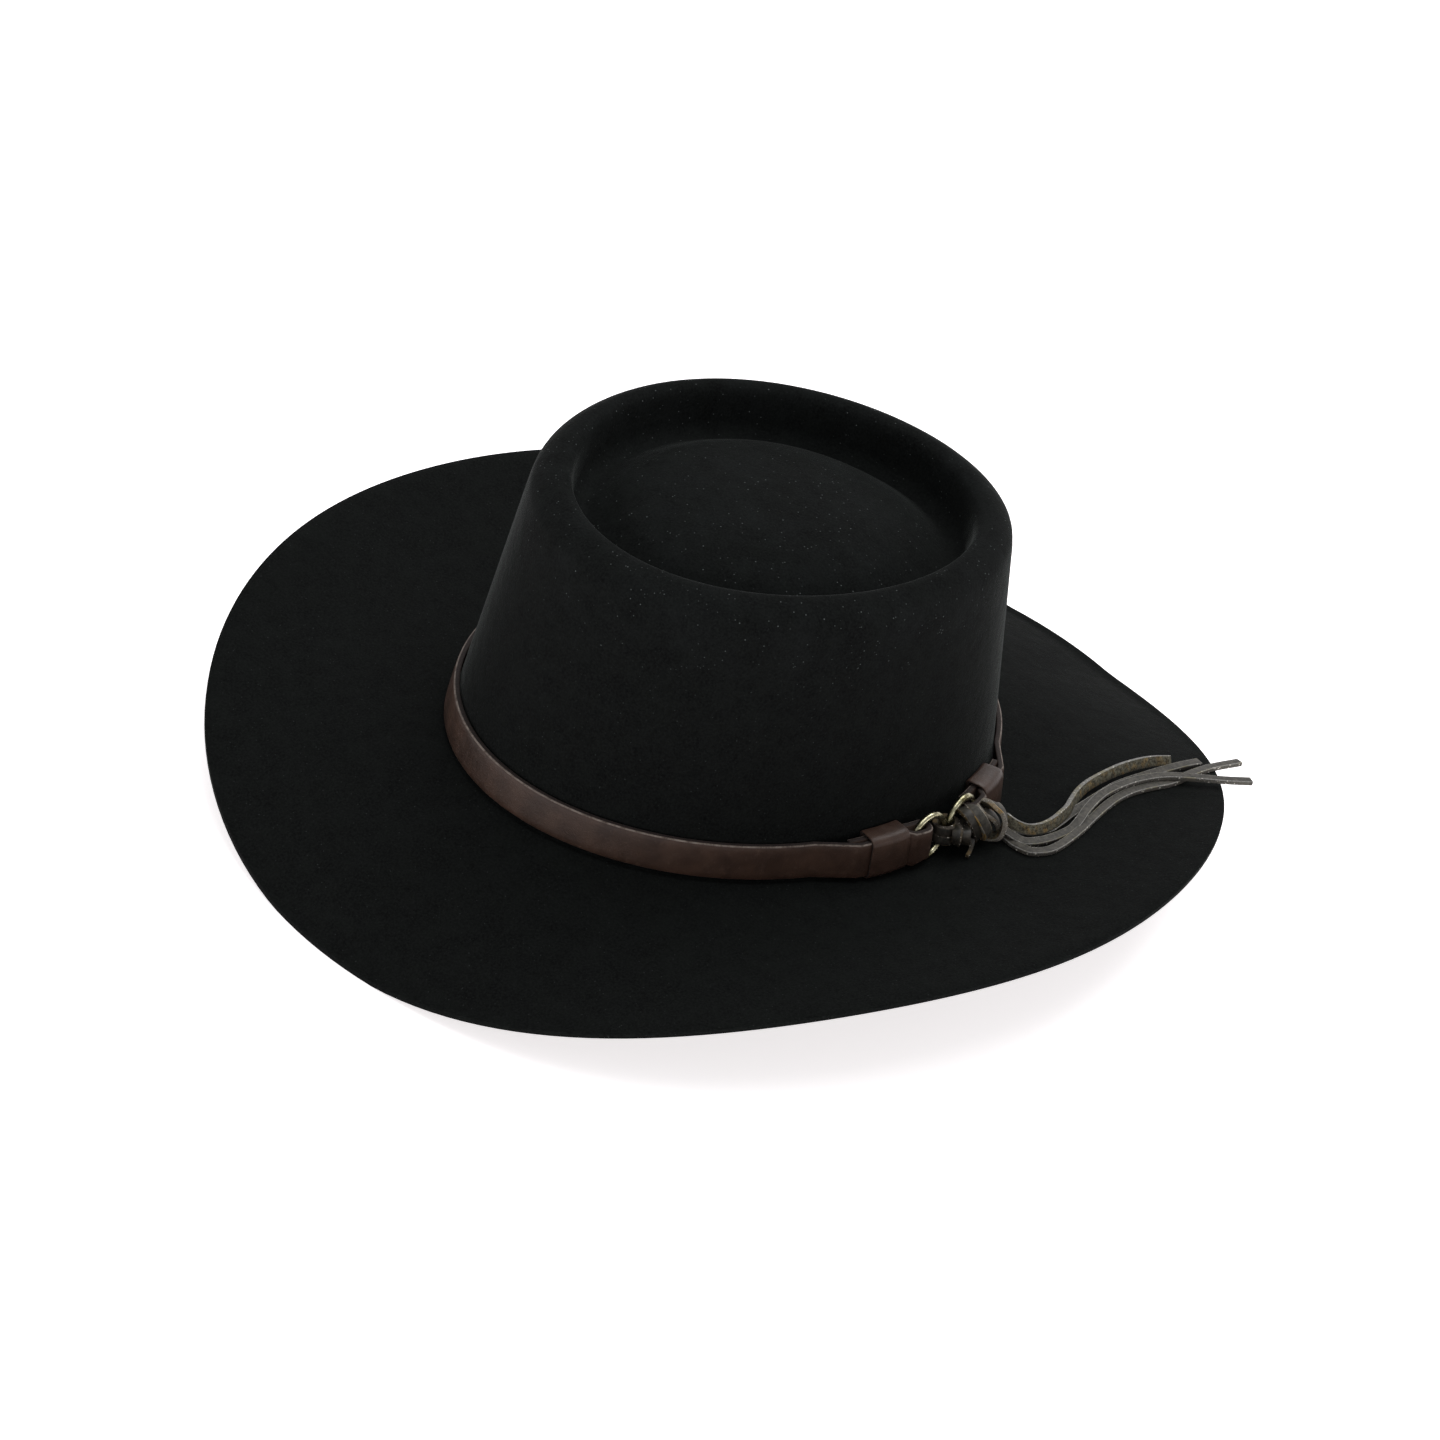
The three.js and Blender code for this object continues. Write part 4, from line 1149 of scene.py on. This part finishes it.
bm = bmesh.new()
rim = [bm.verts.new((x, 0, z)) for x, z in COVE_PROFILE]
profile_edges = [bm.edges.new(pair) for pair in zip(rim, rim[1:])]
bmesh.ops.spin(bm, geom=rim + profile_edges, cent=(0, 0, 0), axis=(0, 0, 1), angle=math.tau,
               steps=COVE_STEPS, use_merge=True)
bmesh.ops.remove_doubles(bm, verts=bm.verts[:], dist=MM)
bmesh.ops.holes_fill(bm, edges=[e for e in bm.edges if e.is_boundary and e.verts[0].co.z < 1], sides=0)
bmesh.ops.recalc_face_normals(bm, faces=bm.faces[:])
if sum(face.normal.z * face.calc_area() for face in bm.faces) < 0:
    bmesh.ops.reverse_faces(bm, faces=bm.faces[:])
cove_mesh = bpy.data.meshes.new("white_cove")
bm.to_mesh(cove_mesh)
bm.free()
for face in cove_mesh.polygons:
    face.use_smooth = True
cove = bpy.data.objects.new("white_cove", cove_mesh)
bpy.context.scene.collection.objects.link(cove)
white_paint, tree, shader, place = new_finish("matt_white_sweep", 0.9, Specular_IOR_Level=0.2)
shader.inputs["Emission Color"].default_value = linear("#fffbfb")
shader.inputs["Emission Strength"].default_value = COVE_GLOW
soft = add(tree, NOISE, {"Vector": place, "Scale": per_mm(300), "Detail": 2})
paint = add(tree, MIX, {SHARE: soft.outputs["Fac"], LOW: "#f0eeef", HIGH: "#f4f3f4"}, data_type="RGBA")
tree.links.new(paint.outputs[MIXED], shader.inputs["Base Color"])
cove_mesh.materials.append(white_paint)

# %% The lights
WORLD_LIGHT = 0.42
world = bpy.data.worlds.new("soft_room")
bpy.context.scene.world = world
world.use_nodes = True
background = world.node_tree.nodes["Background"]
background.inputs["Color"].default_value = linear("#fbfcff")
background.inputs["Strength"].default_value = WORLD_LIGHT
bpy.context.scene.view_settings.view_transform = "Standard"


def soft_box(name, at, size, watts):
    data = bpy.data.lights.new(name, "AREA")
    data.shape = "RECTANGLE"
    data.size, data.size_y = size
    data.energy = watts
    light = bpy.data.objects.new(name, data)
    bpy.context.scene.collection.objects.link(light)
    light.location = at
    light.rotation_euler = (CAMERA_TARGET - Vector(at)).to_track_quat("-Z", "Y").to_euler()
    return light


soft_box("soft_box_behind", (-0.35, 1.6, 2.1), (2.0, 1.2), 31)
soft_box("soft_box_above", (0.3, -0.1, 2.4), (1.6, 1.6), 18)
soft_box("soft_box_left", (-1.9, -0.6, 0.9), (0.9, 0.9), 1.2)
print("lights:", [light.name for light in bpy.data.lights])
